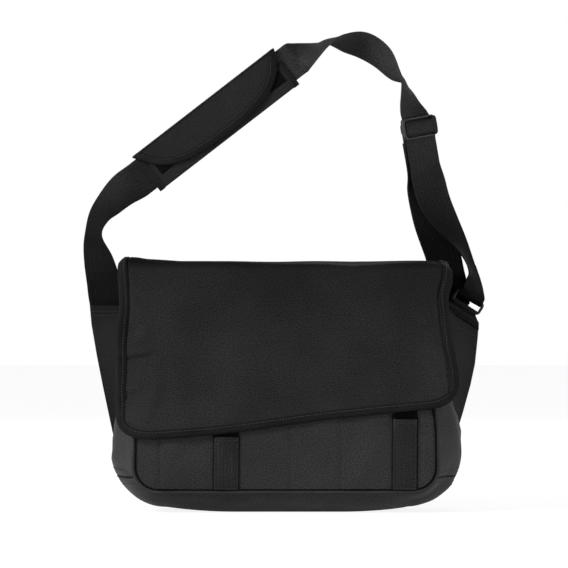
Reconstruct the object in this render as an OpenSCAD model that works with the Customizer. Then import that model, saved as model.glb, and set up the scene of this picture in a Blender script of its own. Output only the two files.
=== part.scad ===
// Messenger bag with a flap, a front pocket, an adjustable shoulder strap and a sliding pad.
// Frame: millimetres, Z up, the front faces -Y, left is -X, the origin is under the middle
// of the bag.

/* [Body] */
// Width of the back panel at its widest point
body_width = 457; // [400:1:520]
// Depth of the body from the front seam to the back panel
body_depth = 110; // [80:1:150]
// Height from the base to the top of the closed flap
body_height = 331; // [280:1:380]
// Thickness of the gussets and the bottom panel
cloth = 2.2; // [1.2:0.1:3]
// Radius of the lower corners at the back
corner_radius = 70; // [40:1:90]
// Height of the front seam above the base
front_rise = 27; // [10:1:40]
// How far the front seam is set in from the back outline, on the left
front_inset_left = 27; // [5:1:40]
// How far the front seam is set in from the back outline, on the right
front_inset_right = 30; // [5:1:40]

/* [Front pocket] */
// Height of the open top of the front pocket
pocket_top = 205; // [150:1:250]
// Width of the two ribbed webbing sleeves
sleeve_width = 33; // [20:1:50]
// Height of the top hem of the left sleeve
left_sleeve_top = 99; // [70:1:150]
// Height of the top hem of the right sleeve
right_sleeve_top = 122; // [70:1:160]

/* [Flap] */
// Height of the lower edge of the front flap at its left corner
flap_drop_left = 99; // [70:1:160]
// Height of the lower edge of the front flap at its right corner
flap_drop_right = 139; // [70:1:180]
// Width of the edge binding
binding_width = 10; // [6:0.5:16]
// Left edge of the front flap
flap_left = -223; // [-240:1:-200]
// Right edge of the front flap at its widest point
flap_right = 222; // [200:1:240]

/* [Strap] */
// Width of the shoulder webbing
strap_width = 48; // [38:1:52]
// Thickness of the shoulder webbing
strap_thickness = 1.6; // [1.2:0.1:2.5]
// Diameter of the ring wire
ring_wire = 4.4; // [3:0.1:6]
// Height of the ring between bar centres
ring_height = 16; // [14:0.5:30]
// Distance between the centres of the ring's side rails
ring_width = 42; // [36:1:56]
// Slack in the fold of webbing around the upper bar of the ring
ring_play = 2.4; // [0.4:0.1:4]

/* [Pad] */
// Length of the shoulder pad
pad_length = 234; // [180:1:280]
// Width of the shoulder pad
pad_width = 56; // [50:1:70]
// Slope of the pad along the strap in degrees
pad_slope = 37.7; // [20:0.1:60]

/* [Slider] */
// Height of the adjuster frame along the strap
slider_height = 29; // [20:1:40]
// Thickness of the flat adjuster bars
slider_bar = 2.6; // [2:0.1:4]

/* [Colours] */
// Main cloth
c_cloth = [0.13, 0.13, 0.135]; // []
// Webbing and tapes
c_web = [0.09, 0.09, 0.095]; // []
// Bindings and welts
c_bind = [0.07, 0.07, 0.075]; // []
// Lining
c_line = [0.22, 0.22, 0.23]; // []
// Foam and board
c_foam = [0.32, 0.32, 0.33]; // []
// Moulded plastic
c_plastic = [0.20, 0.20, 0.21]; // []

/* [Hidden] */
$fn = 48;
gap = 0.2;                          // clearance between neighbouring pieces
front_y = -body_depth / 2;          // front seam
rear_y = body_depth / 2 - 3;        // rear edge of the gussets
mouth_z = body_height - 9;          // mouth of the compartment
front_panel_t = 2.4;
back_panel_t = 2.6;
back = [0, 1, 0];                   // direction of the back of the bag

// ---------- helpers ----------
function lerp(a, b, t) = a + (b - a) * t;
function unit(v) = v / norm(v);
function clamp01(t) = min(1, max(0, t));
function reversed(v) = [for (i = [len(v) - 1:-1:0]) v[i]];
function sum(v, i = 0) = i >= len(v) ? 0 : v[i] + sum(v, i + 1);
function signed_volume(points, faces) =
    sum([for (f = faces) cross(points[f[0]], points[f[1]]) * points[f[2]] / 6]);
function quad(a, b, c, d) = [[a, b, c], [a, c, d]];
function arc(x, z, r, angles) = [for (a = angles) [x + r * cos(a), z + r * sin(a)]];
function tangent(points, i) =
    unit(points[min(i + 1, len(points) - 1)] - points[max(i - 1, 0)]);

// Catmull-Rom curve from b to c
function catmull_rom(a, b, c, d, t) = 0.5 * (2 * b + (c - a) * t
    + (2 * a - 5 * b + 4 * c - d) * t * t + (3 * b - a - 3 * c + d) * t * t * t);
// smooth curve through the inner control points, the end ones only steer it
function spline(p, steps) = [
    for (i = [1:len(p) - 3]) for (k = [0:steps - 1])
        catmull_rom(p[i - 1], p[i], p[i + 1], p[i + 2], k / steps),
    p[len(p) - 2]];

// a closed solid, turned the right way out
module solid(points, faces) {
    outward = signed_volume(points, faces) > 0 ? [for (f = faces) reversed(f)] : faces;
    polyhedron(points = points, faces = outward, convexity = 8);
}

// solid between two grids of points of the same size
module sheet(grid_a, grid_b) {
    m = len(grid_a);
    n = len(grid_a[0]);
    o = m * n;                      // index of the first point of grid_b
    cells = [for (i = [0:m - 2]) for (j = [0:n - 2]) i * n + j];
    faces = concat(
        [for (a = cells) each quad(a, a + 1, a + n + 1, a + n)],
        [for (a = cells) each quad(o + a, o + a + n, o + a + n + 1, o + a + 1)],
        [for (a = [0:n - 2]) each quad(a, a + o, a + o + 1, a + 1)],
        [for (j = [0:n - 2]) let (a = (m - 1) * n + j) each quad(a, a + 1, a + o + 1, a + o)],
        [for (i = [0:m - 2]) let (a = i * n) each quad(a, a + n, a + n + o, a + o)],
        [for (i = [0:m - 2]) let (a = i * n + n - 1) each quad(a, a + o, a + n + o, a + n)]);
    solid(concat([for (row = grid_a) each row], [for (row = grid_b) each row]), faces);
}

// closed tube, each line of points runs along its length
module tube(lines) {
    m = len(lines);
    n = len(lines[0]);
    faces = concat(
        [for (i = [0:m - 1]) for (j = [0:n - 2]) let (a = i * n + j, b = ((i + 1) % m) * n + j)
            each quad(a, a + 1, b + 1, b)],
        [for (i = [1:m - 2]) [0, i * n, (i + 1) * n]],
        [for (i = [1:m - 2]) [n - 1, (i + 1) * n + n - 1, i * n + n - 1]]);
    solid([for (line = lines) each line], faces);
}

// extrude an XZ outline from y0 to y1
module slab(y0, y1) {
    translate([0, y1, 0]) rotate([90, 0, 0]) linear_extrude(height = y1 - y0) children();
}

// move the children into a frame given by its origin and its three axes
module place(origin, ex, ey, ez) {
    multmatrix([[ex[0], ey[0], ez[0], origin[0]],
                [ex[1], ey[1], ez[1], origin[1]],
                [ex[2], ey[2], ez[2], origin[2]],
                [0, 0, 0, 1]]) children();
}

// horizontal strip wider than the bag, for trimming XZ outlines
module level_strip(z0, height) { translate([-300, z0]) square([600, height]); }

// ---------- body ----------
centre_x = -1.5;                    // the body sits a little to the left
round_y = -15;                      // the outline starts to round in towards the front here
front_corner_radius = 34;
base_lift = 6.5;                    // rise of the base towards its ends
side_lean = 13;                     // how far the side walls lean in at the top

// share of the front outline at a given depth, the body is straight at the back
function front_share(y) = y < round_y ? pow((round_y - y) / (round_y - front_y), 2.2) : 0;
function base_rise(x) = base_lift * pow(clamp01((abs(x) - 70) / 90), 2);
function wall_in(z) = side_lean * clamp01((z - 77) / 250);

// [x, z] outline of the body at depth y: down the left wall, along the base, up the right
function section(y, inset) =
    let (front = front_share(y),
         rear = 1 - front,
         half = body_width / 2,
         left = lerp(centre_x - half, centre_x - half + front_inset_left, front) + inset,
         right = lerp(centre_x + half, centre_x + half - front_inset_right, front) - inset,
         base = lerp(0, front_rise, front) + inset,
         r = lerp(corner_radius, front_corner_radius, front) - inset,
         corner_z = base + r + base_lift * rear,
         wall = [for (k = [0:4]) lerp(mouth_z, corner_z, k / 5)])
    concat(
        [for (z = wall) [left + wall_in(z) * rear, z]],
        arc(left + r, corner_z, r, [180:15:270]),
        [for (k = [1:7]) let (x = lerp(left + r, right - r, k / 8))
            [x, base + base_rise(x) * rear]],
        arc(right - r, corner_z, r, [270:15:360]),
        [for (z = reversed(wall)) [right - wall_in(z) * rear, z]]);
function outline(y, inset) = [for (p = section(y, inset)) [p[0], y, p[1]]];

last = len(section(0, 0)) - 1;
left_seam = 7;                      // outline points where the gussets meet the bottom panel
right_seam = last - left_seam;
side_rows = [front_y, front_y + 4, front_y + 11, front_y + 23, round_y, 18, rear_y];

// outline points first to end, with both end points pulled in by trim
function span(points, first, end, trim) =
    let (s = [for (i = [first:end]) points[i]], n = len(s))
    [for (i = [0:n - 1])
        i == 0 ? s[0] + unit(s[1] - s[0]) * trim
        : i == n - 1 ? s[n - 1] + unit(s[n - 2] - s[n - 1]) * trim
        : s[i]];
// part of the body wall between two insets, running through the given depths
module band(first, end, inset0, inset1, rows, trim = 0.15) {
    sheet([for (y = rows) span(outline(y, inset0), first, end, trim)],
          [for (y = rows) span(outline(y, inset1), first, end, trim)]);
}

module left_gusset() { color(c_cloth) band(0, left_seam, 0, cloth, side_rows); }
module right_gusset() { color(c_cloth) band(right_seam, last, 0, cloth, side_rows); }
module bottom_panel() { color(c_cloth) band(left_seam, right_seam, 0, cloth, side_rows); }
module front_panel() {
    color(c_cloth) slab(front_y - front_panel_t - gap, front_y - gap)
        polygon(section(front_y, 0.1));
}
module back_panel() {
    color(c_cloth) slab(rear_y + gap, rear_y + back_panel_t + gap)
        polygon(section(rear_y, 0.1));
}
module back_foam() {
    color(c_foam) slab(rear_y - 4.2, rear_y - 0.2) intersection() {
        polygon(section(rear_y, 9));
        level_strip(20, mouth_z - 28);
    }
}

function board_grid(z) =
    [for (y = [-14, 15, 44]) [for (x = [-150:30:150]) [x, y, z + base_rise(x)]]];
module base_board() { color(c_foam) sheet(board_grid(3.2), board_grid(5.4)); }

// front or back face of the lining
module lining_face(y) { translate([0, -2]) polygon(section(y, 7.3)); }
module lining() {
    rows = [front_y + 3, front_y + 11, front_y + 23, round_y, 18, rear_y - 5.4];
    color(c_line) {
        band(0, last, 7.2, 8.2, rows, 2);
        slab(rear_y - 5.6, rear_y - 4.6) lining_face(rear_y);
        slab(front_y + 1.2, front_y + 3.2) lining_face(front_y + 3);
    }
}

// tape folded over the top edge of the front panel
module mouth_binding() {
    left = section(front_y, 0)[0][0];
    right = section(front_y, 0)[last][0];
    slot_width = right - left + 2;
    color(c_bind) difference() {
        translate([left + 5, front_y - 3.6, mouth_z - 8]) cube([right - left - 10, 4.8, 9.4]);
        translate([left - 1, front_y - front_panel_t - 2 * gap, mouth_z - 9])
            cube([slot_width, front_panel_t + 2 * gap, 9.2]);
        translate([left - 1, front_y - 0.3, mouth_z - 9]) cube([slot_width, 0.5, 9.2]);
    }
}

// cord sewn round the back seam
module back_piping() {
    seam = outline(rear_y, 0.9);
    radius = 0.8;
    color(c_bind) tube([for (a = [0:60:300]) [for (i = [0:last])
        let (side = unit(cross(tangent(seam, i), back)))
        seam[i] + 3.8 * back + radius * (cos(a) * side + sin(a) * back)]]);
}

// ---------- front pocket ----------
panel_face_y = front_y - front_panel_t - 2 * gap;   // just in front of the front panel
pocket_depth = 4.4;
pocket_wall = 2.6;
pocket_inset = 5;
pocket_face_y = panel_face_y - pocket_depth - gap;  // just in front of the pocket

module pocket_shape(inset, top) {
    intersection() {
        polygon(section(front_y, inset));
        level_strip(0, top);
    }
}
module front_pocket() {
    color(c_cloth) difference() {
        slab(panel_face_y - pocket_depth, panel_face_y)
            pocket_shape(pocket_inset + 0.1, pocket_top);
        slab(panel_face_y - 2.6, panel_face_y + 1) translate([0, 0.01])
            pocket_shape(pocket_inset + pocket_wall, pocket_top + 5);
        // row of stitching across the top hem
        translate([-300, panel_face_y - 4.6, pocket_top - 12]) cube([600, 0.4, 0.8]);
    }
}
// welt round the sides and foot of the pocket
module pocket_welt() {
    rim = section(front_y, pocket_inset);
    above = mouth_z + 40;
    color(c_bind) slab(panel_face_y - 5, panel_face_y) difference() {
        pocket_shape(-1.4, pocket_top);
        polygon(concat(section(front_y, pocket_inset - 0.1),
            [[rim[last][0], above], [rim[0][0], above]]));
    }
}

// ribbed webbing sewn down its sides and foot, open at the top
module sleeve(left, top) {
    foot = front_rise + 7;
    height = top - foot;
    seam = 4;                       // width of the sewn edges
    stand = 1.4;                    // thickness of the sewn edges behind the webbing
    rib_pitch = (sleeve_width - 2 * seam) / 5;
    web_y = pocket_face_y - 2.6;    // front of the flat webbing
    color(c_web) difference() {
        union() {
            for (x = [left, left + sleeve_width - seam])
                translate([x, pocket_face_y - stand, foot]) cube([seam, stand, height]);
            translate([left, pocket_face_y - stand, foot]) cube([sleeve_width, stand, seam]);
            translate([left, web_y, foot]) cube([sleeve_width, 1.3, height]);
            for (k = [0:5])
                translate([left + seam + k * rib_pitch, web_y, foot + 1])
                    cylinder(r = 1.2, h = height - 8, $fn = 16);
            translate([left, pocket_face_y - 3.2, top - 6]) cube([sleeve_width, 0.8, 6]);
        }
        // stitching at the hem and the foot
        for (z = [top - 5, foot + 1.4])
            translate([left - 1, pocket_face_y - 3.9, z]) cube([sleeve_width + 2, 0.3, 0.6]);
    }
}
module left_sleeve() { sleeve(-98, left_sleeve_top); }
module right_sleeve() { sleeve(137, right_sleeve_top); }

// pair of fastening tapes, at the same places on the pocket and the flap
module tape_pair(y, thickness) {
    for (x = [-150, 78]) translate([x, y, 152]) cube([38, thickness, 42]);
}
module loop_tapes() { color(c_web) tape_pair(pocket_face_y - 1.9, 1.9); }

// ---------- side ears that carry the strap ----------
ear_y = rear_y + 7.2;
ear_t = 3;
ear_mid_y = ear_y + ear_t / 2;
ring_slope = -32;
ring_along = [cos(ring_slope), 0, sin(ring_slope)];     // along the ring bars
ring_up = [-sin(ring_slope), 0, cos(ring_slope)];
ring_centre = [240.7, ear_mid_y, 275.7];

module left_ear() {
    color(c_cloth) difference() {
        // [x, z] round the ear
        slab(ear_y, ear_y + ear_t) polygon([
            [-264, 268.2], [-262, 246], [-254.5, 204], [-246, 161], [-237, 118],
            [-231, 86], [-214, 80], [-206, 160], [-206, 250], [-214, 268.2]]);
        for (z = [262, 256]) translate([-261, ear_y - 0.1, z]) cube([46, 0.5, 0.7]);
    }
}
// its sloping upper edge lies parallel to the ring bars
module right_ear() {
    edge = ring_centre - (ring_height / 2 + 11) * ring_up;
    inner = edge - 26 * ring_along;
    outer = edge + 25 * ring_along;
    color(c_cloth) slab(ear_y, ear_y + ear_t) polygon([
        [inner[0], inner[2]], [outer[0], outer[2]],
        [253, 236], [251, 203], [244.4, 171], [234, 129], [227, 106],
        [214, 98], [205, 160], [204, 262]]);
}

// ---------- flap ----------
flap_y = front_y - 11.6;            // inside of the front flap
hinge_y = -65.8;                    // fold between the top and the front of the flap
flap_inset = 3.4;                   // cloth edge, set in under the binding

module flap_top_lining() {
    color(c_line) translate([-214, -62, body_height - 4.2]) cube([424, 116, 1]);
}
module flap_top_panel() {
    h = body_height;
    color(c_cloth) slab(hinge_y + 0.4, rear_y + 3.6) polygon([
        [-219, h - 3], [-219, h - 1.4], [-216, h], [-60, h + 0.8],
        [90, h + 0.4], [207, h - 0.4], [211, h - 2], [211, h - 3]]);
}
// [x, z] outline of the hanging flap, taken in by inset along its free edges:
// left edge, left corner, slanting lower edge, right corner, right edge
module flap_shape(inset) {
    low = flap_drop_left;
    top = body_height + 2 * inset;  // raised so that the inset leaves the top edge alone
    offset(delta = -inset) polygon(concat(
        [[-218, top], [-221, 300], [-217.6, 276], [-221.5, 240],
         [flap_left, 200], [flap_left, 131]],
        arc(flap_left + 30, low + 31, 30, [194:14:264]),
        [[-150, low + 2.5], [-96, low + 7], [-42, low + 13.5], [16, low + 22.5],
         [84, low + 30], [138, low + 36.4],
         [165, flap_drop_right - 1], [187, flap_drop_right + 1]],
        arc(flap_right - 32, flap_drop_right + 33, 32, [288:13:353]),
        [[218, 206], [214, 228], [211, 249], [207.2, 276], [207.2, 287], [211, 304],
         [213, body_height - 10], [208, top]]));
}
module flap_cut() {
    intersection() {
        children();
        level_strip(0, body_height - 0.8);
    }
}
module flap_front_lining() {
    color(c_line) slab(flap_y - 0.8, flap_y) flap_cut() flap_shape(flap_inset);
}
module flap_front_panel() {
    color(c_cloth) slab(flap_y - 3.4, flap_y - 1) flap_cut() flap_shape(flap_inset);
}
module flap_binding() {
    color(c_bind) difference() {
        slab(flap_y - 4.6, flap_y + 0.8) flap_cut() difference() {
            flap_shape(0);
            flap_shape(binding_width);
        }
        slab(flap_y - 3.6, flap_y + 0.2) flap_shape(3.1);
    }
}
module hook_tapes() { color(c_web) tape_pair(flap_y + 0.2, 1.6); }

// ---------- strap ----------
pad_along = [cos(pad_slope), 0, sin(pad_slope)];
pad_up = [-sin(pad_slope), 0, cos(pad_slope)];
pad_centre = [-96.5, 74, 519.4];
pad_run = 133;                      // half the straight run of strap through the pad

// the webbing's width points along a turn in the front view and a tilt towards the back
function width_dir(turn, tilt) = [cos(tilt) * cos(turn), sin(tilt), cos(tilt) * sin(turn)];

slider_turn = 11.3;
slider_tilt = 32;
slider_centre = [175.4, 78, 509.8];
slider_up = unit([-8.6, -3.07, 52.9]);
slider_width_dir = width_dir(slider_turn, slider_tilt);
slider_across = unit(slider_width_dir - (slider_width_dir * slider_up) * slider_up);
slider_back = cross(slider_up, slider_across);

fold_centre = ring_centre + (ring_height / 2 - 0.5) * ring_up;
fold_slope = ring_slope + 3;
fold_r = ring_wire / 2 + ring_play + strap_thickness / 2;

// strap stations are [x, y, z, turn, tilt]
function at(p, turn, tilt) = [p[0], p[1], p[2], turn, tilt];
function at_pad(along) = at(pad_centre + along * pad_along, pad_slope + 90, 0);
function at_slider(along, behind = 0) =
    at(slider_centre + along * slider_up + behind * slider_back, slider_turn, slider_tilt);
// beside the fold at the ring, in front of it (side -1) or behind it (side 1)
function at_fold(up, side) =
    at(fold_centre + up * ring_up + side * fold_r * back, fold_slope, 0);

// from the left ear up to the pad
left_path = spline([
    [-239, ear_mid_y, 255, 180, 0],
    [-240, ear_mid_y, 269.4, 180, 0],
    [-243.5, ear_mid_y + 1.9, 285, 179, 8],
    [-246, ear_mid_y + 2.8, 302, 177, 12],
    [-253.5, 62, 337, 175, 33],
    [-260, 66, 366, 168, 58],
    [-254.5, 69, 389, 156, 57],
    [-240.5, 72, 408, 138, 45],
    [-221.9, 73.6, 424.5, 130, 20],
    at_pad(-pad_run), at_pad(25 - pad_run)], 3);
// over the top, from the pad to the slider
top_path = spline([
    at_pad(pad_run - 25), at_pad(pad_run),
    [28, 75, 609.6, 115, 44],
    [53, 77, 620, 99, 82],
    [76, 79, 622, 80, 116],
    [100, 80, 618, 66, 134],
    [125, 80, 602, 50, 128],
    [146.5, 79, 577, 30, 104],
    [161, 78, 553, 16, 62],
    at_slider(26), at_slider(10)], 4);
// down from the slider to the front of the ring
front_path = spline([
    at_slider(-20), at_slider(-50),
    [189, 78, 436, 16, 22],
    [197.6, 76, 408, 21, 27],
    [213, 77, 380.6, 22, 43],
    [230.7, 77, 354.5, 25, 63.5],
    [241.5, 75, 331, 3, 72],
    [246, 70, 309, -18, 56],
    at_fold(12, -1), at_fold(2, -1)], 3);
// half turn under the upper bar of the ring
fold_path = [for (k = [0:8]) let (a = 22.5 * k)
    at(fold_centre - fold_r * cos(a) * back - fold_r * sin(a) * ring_up, fold_slope, 0)];
// back up to the slider
return_path = spline([
    at_fold(2, 1), at_fold(12, 1),
    [222, 73, 302, -22, 5],
    [213, 76, 318, -6, 0],
    [207, 83, 341, 8, 0],
    [193, 89.5, 383, 14, 0],
    [183.5, 90, 425, 13, 12],
    at_slider(-60, 9.4), at_slider(-18, 9.4), at_slider(0, 9.4)], 3);
strap_path = concat(left_path, top_path, front_path, fold_path, return_path);

// share of its width that the webbing keeps, it gathers where it passes through the ring
function gather(p) =
    let (clear_width = ring_width - ring_wire - 2.4)
    1 - (1 - clear_width / strap_width) * 1.02 * exp(-pow(norm(p - fold_centre) / 24, 2));

// flat band through the stations
module ribbon(stations, width, thickness) {
    n = len(stations);
    centres = [for (s = stations) [s[0], s[1], s[2]]];
    points = [for (i = [0:n - 1])
        let (s = stations[i],
             c = centres[i],
             w = width / 2 * gather(c) * width_dir(s[3], s[4]),
             t = unit(cross(tangent(centres, i), w)) * thickness / 2)
        each [c - w - t, c + w - t, c + w + t, c - w + t]];
    end = 4 * (n - 1);
    faces = concat(
        quad(0, 1, 2, 3),
        // side 2 takes the other diagonal, so that both faces are split alike
        [for (i = [0:n - 2]) for (j = [0:3]) let (a = 4 * i + j, b = 4 * i + (j + 1) % 4)
            each j == 2 ? quad(b, a, a + 4, b + 4) : quad(a, a + 4, b + 4, b)],
        quad(end, end + 3, end + 2, end + 1));
    solid(points, faces);
}
module strap_webbing() { color(c_web) ribbon(strap_path, strap_width, strap_thickness); }

module ring_frame() { place(ring_centre, ring_along, back, ring_up) children(); }
// tape loop at the ear that holds the lower bar of the ring
module ring_keeper() {
    bore = ring_wire / 2 + 0.3;
    width = ring_width - ring_wire - 3;
    color(c_web) ring_frame()
        translate([-width / 2, 0, -ring_height / 2]) rotate([90, 0, 90])
            linear_extrude(height = width) difference() {
                union() {
                    circle(r = bore + 1.4);
                    translate([-1.9, -5.6]) square([3.8, 3.4]);
                }
                circle(r = bore);
            }
}
module ring() {
    w = ring_width / 2;
    h = ring_height / 2;
    r = ring_wire / 2;
    color(c_plastic) ring_frame() for (s = [-1, 1]) {
        translate([-w, 0, s * h]) rotate([0, 90, 0]) cylinder(r = r, h = 2 * w, $fn = 32);
        translate([s * w, 0, -h]) cylinder(r = r, h = 2 * h, $fn = 32);
        for (q = [-1, 1]) translate([q * w, 0, s * h]) sphere(r = r, $fn = 24);
    }
}

// ---------- adjuster ----------
mid_bar_y = 4.4;                    // round middle bar, behind the slider's centre
mid_bar_r = 1.5;

module slider_place() { place(slider_centre, slider_across, slider_back, slider_up) children(); }
module slider_frame() {
    half_w = strap_width / 2 + 1.2; // half the opening between the side rails
    half_h = slider_height / 2;
    rail = 3.4;
    bar_h = 3.6;
    front = -4.2;
    bar_length = 2 * half_w + 2;
    color(c_plastic) slider_place() {
        for (x = [-half_w - rail, half_w])
            translate([x, front, -half_h]) cube([rail, 10.2, 2 * half_h]);
        for (z = [-half_h, half_h - bar_h])
            translate([-half_w - 1, front, z]) cube([bar_length, slider_bar, bar_h]);
        translate([-half_w - 1, mid_bar_y, 0]) rotate([0, 90, 0])
            cylinder(r = mid_bar_r, h = bar_length, $fn = 32);
    }
}
// end of the webbing folded round the middle bar, with a tail hanging below
module strap_end_tab() {
    color(c_web) slider_place() translate([-strap_width / 2 + 0.2, 0, 0])
        translate([0, mid_bar_y, 0]) rotate([90, 0, 90])
            linear_extrude(height = strap_width - 0.4) difference() {
                union() {
                    circle(r = 3.2);
                    translate([0.2, -44]) square([3, 44]);
                }
                circle(r = mid_bar_r + 0.2);
            }
}

// ---------- pad ----------
// in the pad's frame x runs along the strap and z across it, the strap lies at y = 0
half_l = pad_length / 2;
half_w = pad_width / 2;
flange_height = 38;

module pad_frame() { place(pad_centre, pad_along, back, pad_up) children(); }
// rounded rectangle the size of the pad, set in by inset
module pad_rect(inset, r) {
    hull() for (sx = [-1, 1], sz = [-1, 1])
        translate([sx * (half_l - inset - r), sz * (half_w - inset - r)])
            circle(r = r, $fn = 32);
}
module pad_shell() {
    color(c_cloth) pad_frame() difference() {
        slab(2.4, 10) pad_rect(0, 5);
        slab(1, 8.6) pad_rect(3, 4);
    }
}
module pad_foam() { color(c_foam) pad_frame() slab(2.6, 8.4) pad_rect(3.3, 4); }
module pad_lining() { color(c_line) pad_frame() slab(1.1, 2.2) pad_rect(0, 5); }

// strip in front of the strap, joined to the pad along its lower edge
module pad_flange() {
    color(c_cloth) pad_frame() {
        slab(-2.8, -1.2) translate([-half_l, -half_w]) square([pad_length, flange_height]);
        slab(-2.8, 0.9) translate([-half_l, -half_w]) square([pad_length, 1.8]);
    }
}
module pad_flange_binding() {
    width = 8.5;
    color(c_bind) pad_frame() for (x = [-half_l, half_l - width])
        slab(-3.8, -3) translate([x, -half_w]) square([width, flange_height]);
}
module pad_loop_tape() {
    color(c_web) pad_frame() slab(-3.9, -3) translate([-80, -14]) square([160, 22]);
}

// flap over the front, straight along the top with a rounded lower edge
module pad_flap_shape(inset) {
    offset(delta = -inset) hull() {
        translate([-half_l - 1, half_w - 4]) square([pad_length + 2, 5.5]);
        for (s = [-1, 1]) {
            translate([s * 62, 10]) circle(r = 34, $fn = 72);
            translate([s * 86, 12]) circle(r = 22, $fn = 48);
        }
    }
}
// everything up to the given height above the top edge of the pad
module pad_trim(above) { translate([-200, -60]) square([400, 60 + half_w + above]); }
module pad_flap() {
    color(c_cloth) pad_frame() slab(-9, -5.2) intersection() {
        pad_flap_shape(3.2);
        pad_trim(0.3);
    }
}
module pad_flap_binding() {
    color(c_bind) pad_frame() difference() {
        slab(-9.8, -4.5) intersection() {
            difference() {
                pad_flap_shape(0);
                pad_flap_shape(9);
            }
            pad_trim(1.1);
        }
        slab(-9.2, -5) pad_flap_shape(2.9);
    }
}
module pad_hook_tape() {
    color(c_web) pad_frame() slab(-5, -4.1) translate([-64, -12]) square([128, 19]);
}

front_panel();
back_panel();
left_gusset();
right_gusset();
bottom_panel();
mouth_binding();
lining();
back_foam();
base_board();
front_pocket();
pocket_welt();
left_sleeve();
right_sleeve();
loop_tapes();
back_piping();
left_ear();
right_ear();
flap_top_panel();
flap_top_lining();
flap_front_panel();
flap_front_lining();
flap_binding();
hook_tapes();
strap_webbing();
ring_keeper();
ring();
slider_frame();
strap_end_tab();
pad_shell();
pad_foam();
pad_lining();
pad_flange();
pad_flange_binding();
pad_loop_tape();
pad_flap();
pad_flap_binding();
pad_hook_tape();
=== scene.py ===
# A wide messenger bag with a full-width flap, standing on the floor, its shoulder strap raised
# above it. The strap carries a pad and a slider, and ends at a ring.
# X runs to the right, -Y is the front and Z is up, with the floor at Z = 0.
# Shapes are worked out in millimetres and turned into metres when a mesh is made.
import math
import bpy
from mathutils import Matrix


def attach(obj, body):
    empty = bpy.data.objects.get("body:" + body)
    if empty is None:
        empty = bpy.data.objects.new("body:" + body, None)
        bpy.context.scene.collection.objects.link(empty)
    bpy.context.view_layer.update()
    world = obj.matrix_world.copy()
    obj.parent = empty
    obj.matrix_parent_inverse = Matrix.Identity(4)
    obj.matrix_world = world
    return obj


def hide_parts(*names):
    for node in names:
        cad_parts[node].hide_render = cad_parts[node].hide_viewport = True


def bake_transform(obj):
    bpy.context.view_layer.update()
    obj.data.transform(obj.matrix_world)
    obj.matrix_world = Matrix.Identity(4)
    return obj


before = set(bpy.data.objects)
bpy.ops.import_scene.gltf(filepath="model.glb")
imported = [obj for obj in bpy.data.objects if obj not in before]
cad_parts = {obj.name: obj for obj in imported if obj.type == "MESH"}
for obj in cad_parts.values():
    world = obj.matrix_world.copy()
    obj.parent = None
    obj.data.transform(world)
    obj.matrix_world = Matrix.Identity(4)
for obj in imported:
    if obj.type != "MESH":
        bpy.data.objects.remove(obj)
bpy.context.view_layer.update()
from types import SimpleNamespace
import bmesh
import bpy
import numpy as np
from mathutils import Vector

MM = 0.001


# ------------------------------------------------------------------ numbers, lines and noise
def vec(*numbers):
    return np.array(numbers, float)


RIGHT, BACKWARD, FORWARD, UP = vec(1, 0, 0), vec(0, 1, 0), vec(0, -1, 0), vec(0, 0, 1)


def unit(vectors):
    vectors = np.asarray(vectors, float)
    return vectors / np.maximum(np.linalg.norm(vectors, axis=-1, keepdims=True), 1e-9)


def lerp(start, end, share):
    return start + (end - start) * share


def smooth(share):
    share = np.clip(share, 0, 1)
    return share * share * (3 - 2 * share)


def bell(distance, width):
    return np.exp(-(distance / width) ** 2)


def grid(first, second):
    return np.meshgrid(first, second, indexing="ij")


def xyz(x, y, z):
    """Points from coordinates that may be arrays or numbers."""
    return np.stack(np.broadcast_arrays(x, y, z), -1)


def placed(origin, axes, *amounts):
    """Points at the given amounts along the axes."""
    for axis, amount in zip(axes, np.broadcast_arrays(*amounts)):
        origin = origin + amount[..., None] * axis
    return origin


def eased(count, even):
    """Shares from 0 to 1, closer at the ends; even is the part of plain spacing."""
    ends = 0.5 - 0.5 * np.cos(np.linspace(0, np.pi, count))
    return even * np.linspace(0, 1, count) + (1 - even) * ends


def crown(across, up, power=4):
    """Grid of heights: 1 in the middle and 0 along the edges."""
    return ((1 - np.abs(2 * across - 1) ** power)[:, None]
            * (1 - np.abs(2 * up - 1) ** power)[None])


def waves(x, y, shortest, longest, count, seed):
    """Smooth repeatable noise between about -1 and 1, from wavelengths in mm."""
    random = np.random.default_rng(seed)
    total = np.zeros(np.broadcast(x, y).shape)
    for _ in range(count):
        angle = random.uniform(0, 2 * np.pi)
        length = random.uniform(shortest, longest)
        phase = random.uniform(0, 2 * np.pi)
        run = np.cos(angle) * x + np.sin(angle) * y
        total = total + np.sin(2 * np.pi * run / length + phase)
    return total / math.sqrt(count) * 0.8


def add_folds(height, x, z, table):
    """Add straight folds: from x, z, to x, z, height, width, depth of the hollow beside it."""
    for x0, z0, x1, z1, rise, width, hollow in table:
        start = vec(x0, z0)
        along = vec(x1, z1) - start
        length = np.linalg.norm(along)
        along = along / length
        run = (x - x0) * along[0] + (z - z0) * along[1]
        side = (z - z0) * along[0] - (x - x0) * along[1]
        past = np.where(run < 0, run, np.where(run > length, run - length, 0))
        shape = rise * bell(side, width) - hollow * bell(side + width * 1.3, width)
        height = height + shape * bell(past, width * 1.6)
    return height


def smooth_grid(height, times):
    for _ in range(times):
        pad = np.pad(height, 1, mode="edge")
        height = (pad[1:-1, 1:-1] * 2 + pad[:-2, 1:-1] + pad[2:, 1:-1]
                  + pad[1:-1, :-2] + pad[1:-1, 2:]) / 6
    return height


def relax(line, times):
    for _ in range(times):
        line[1:-1] = (line[:-2] + 2 * line[1:-1] + line[2:]) / 4
    return line


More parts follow.
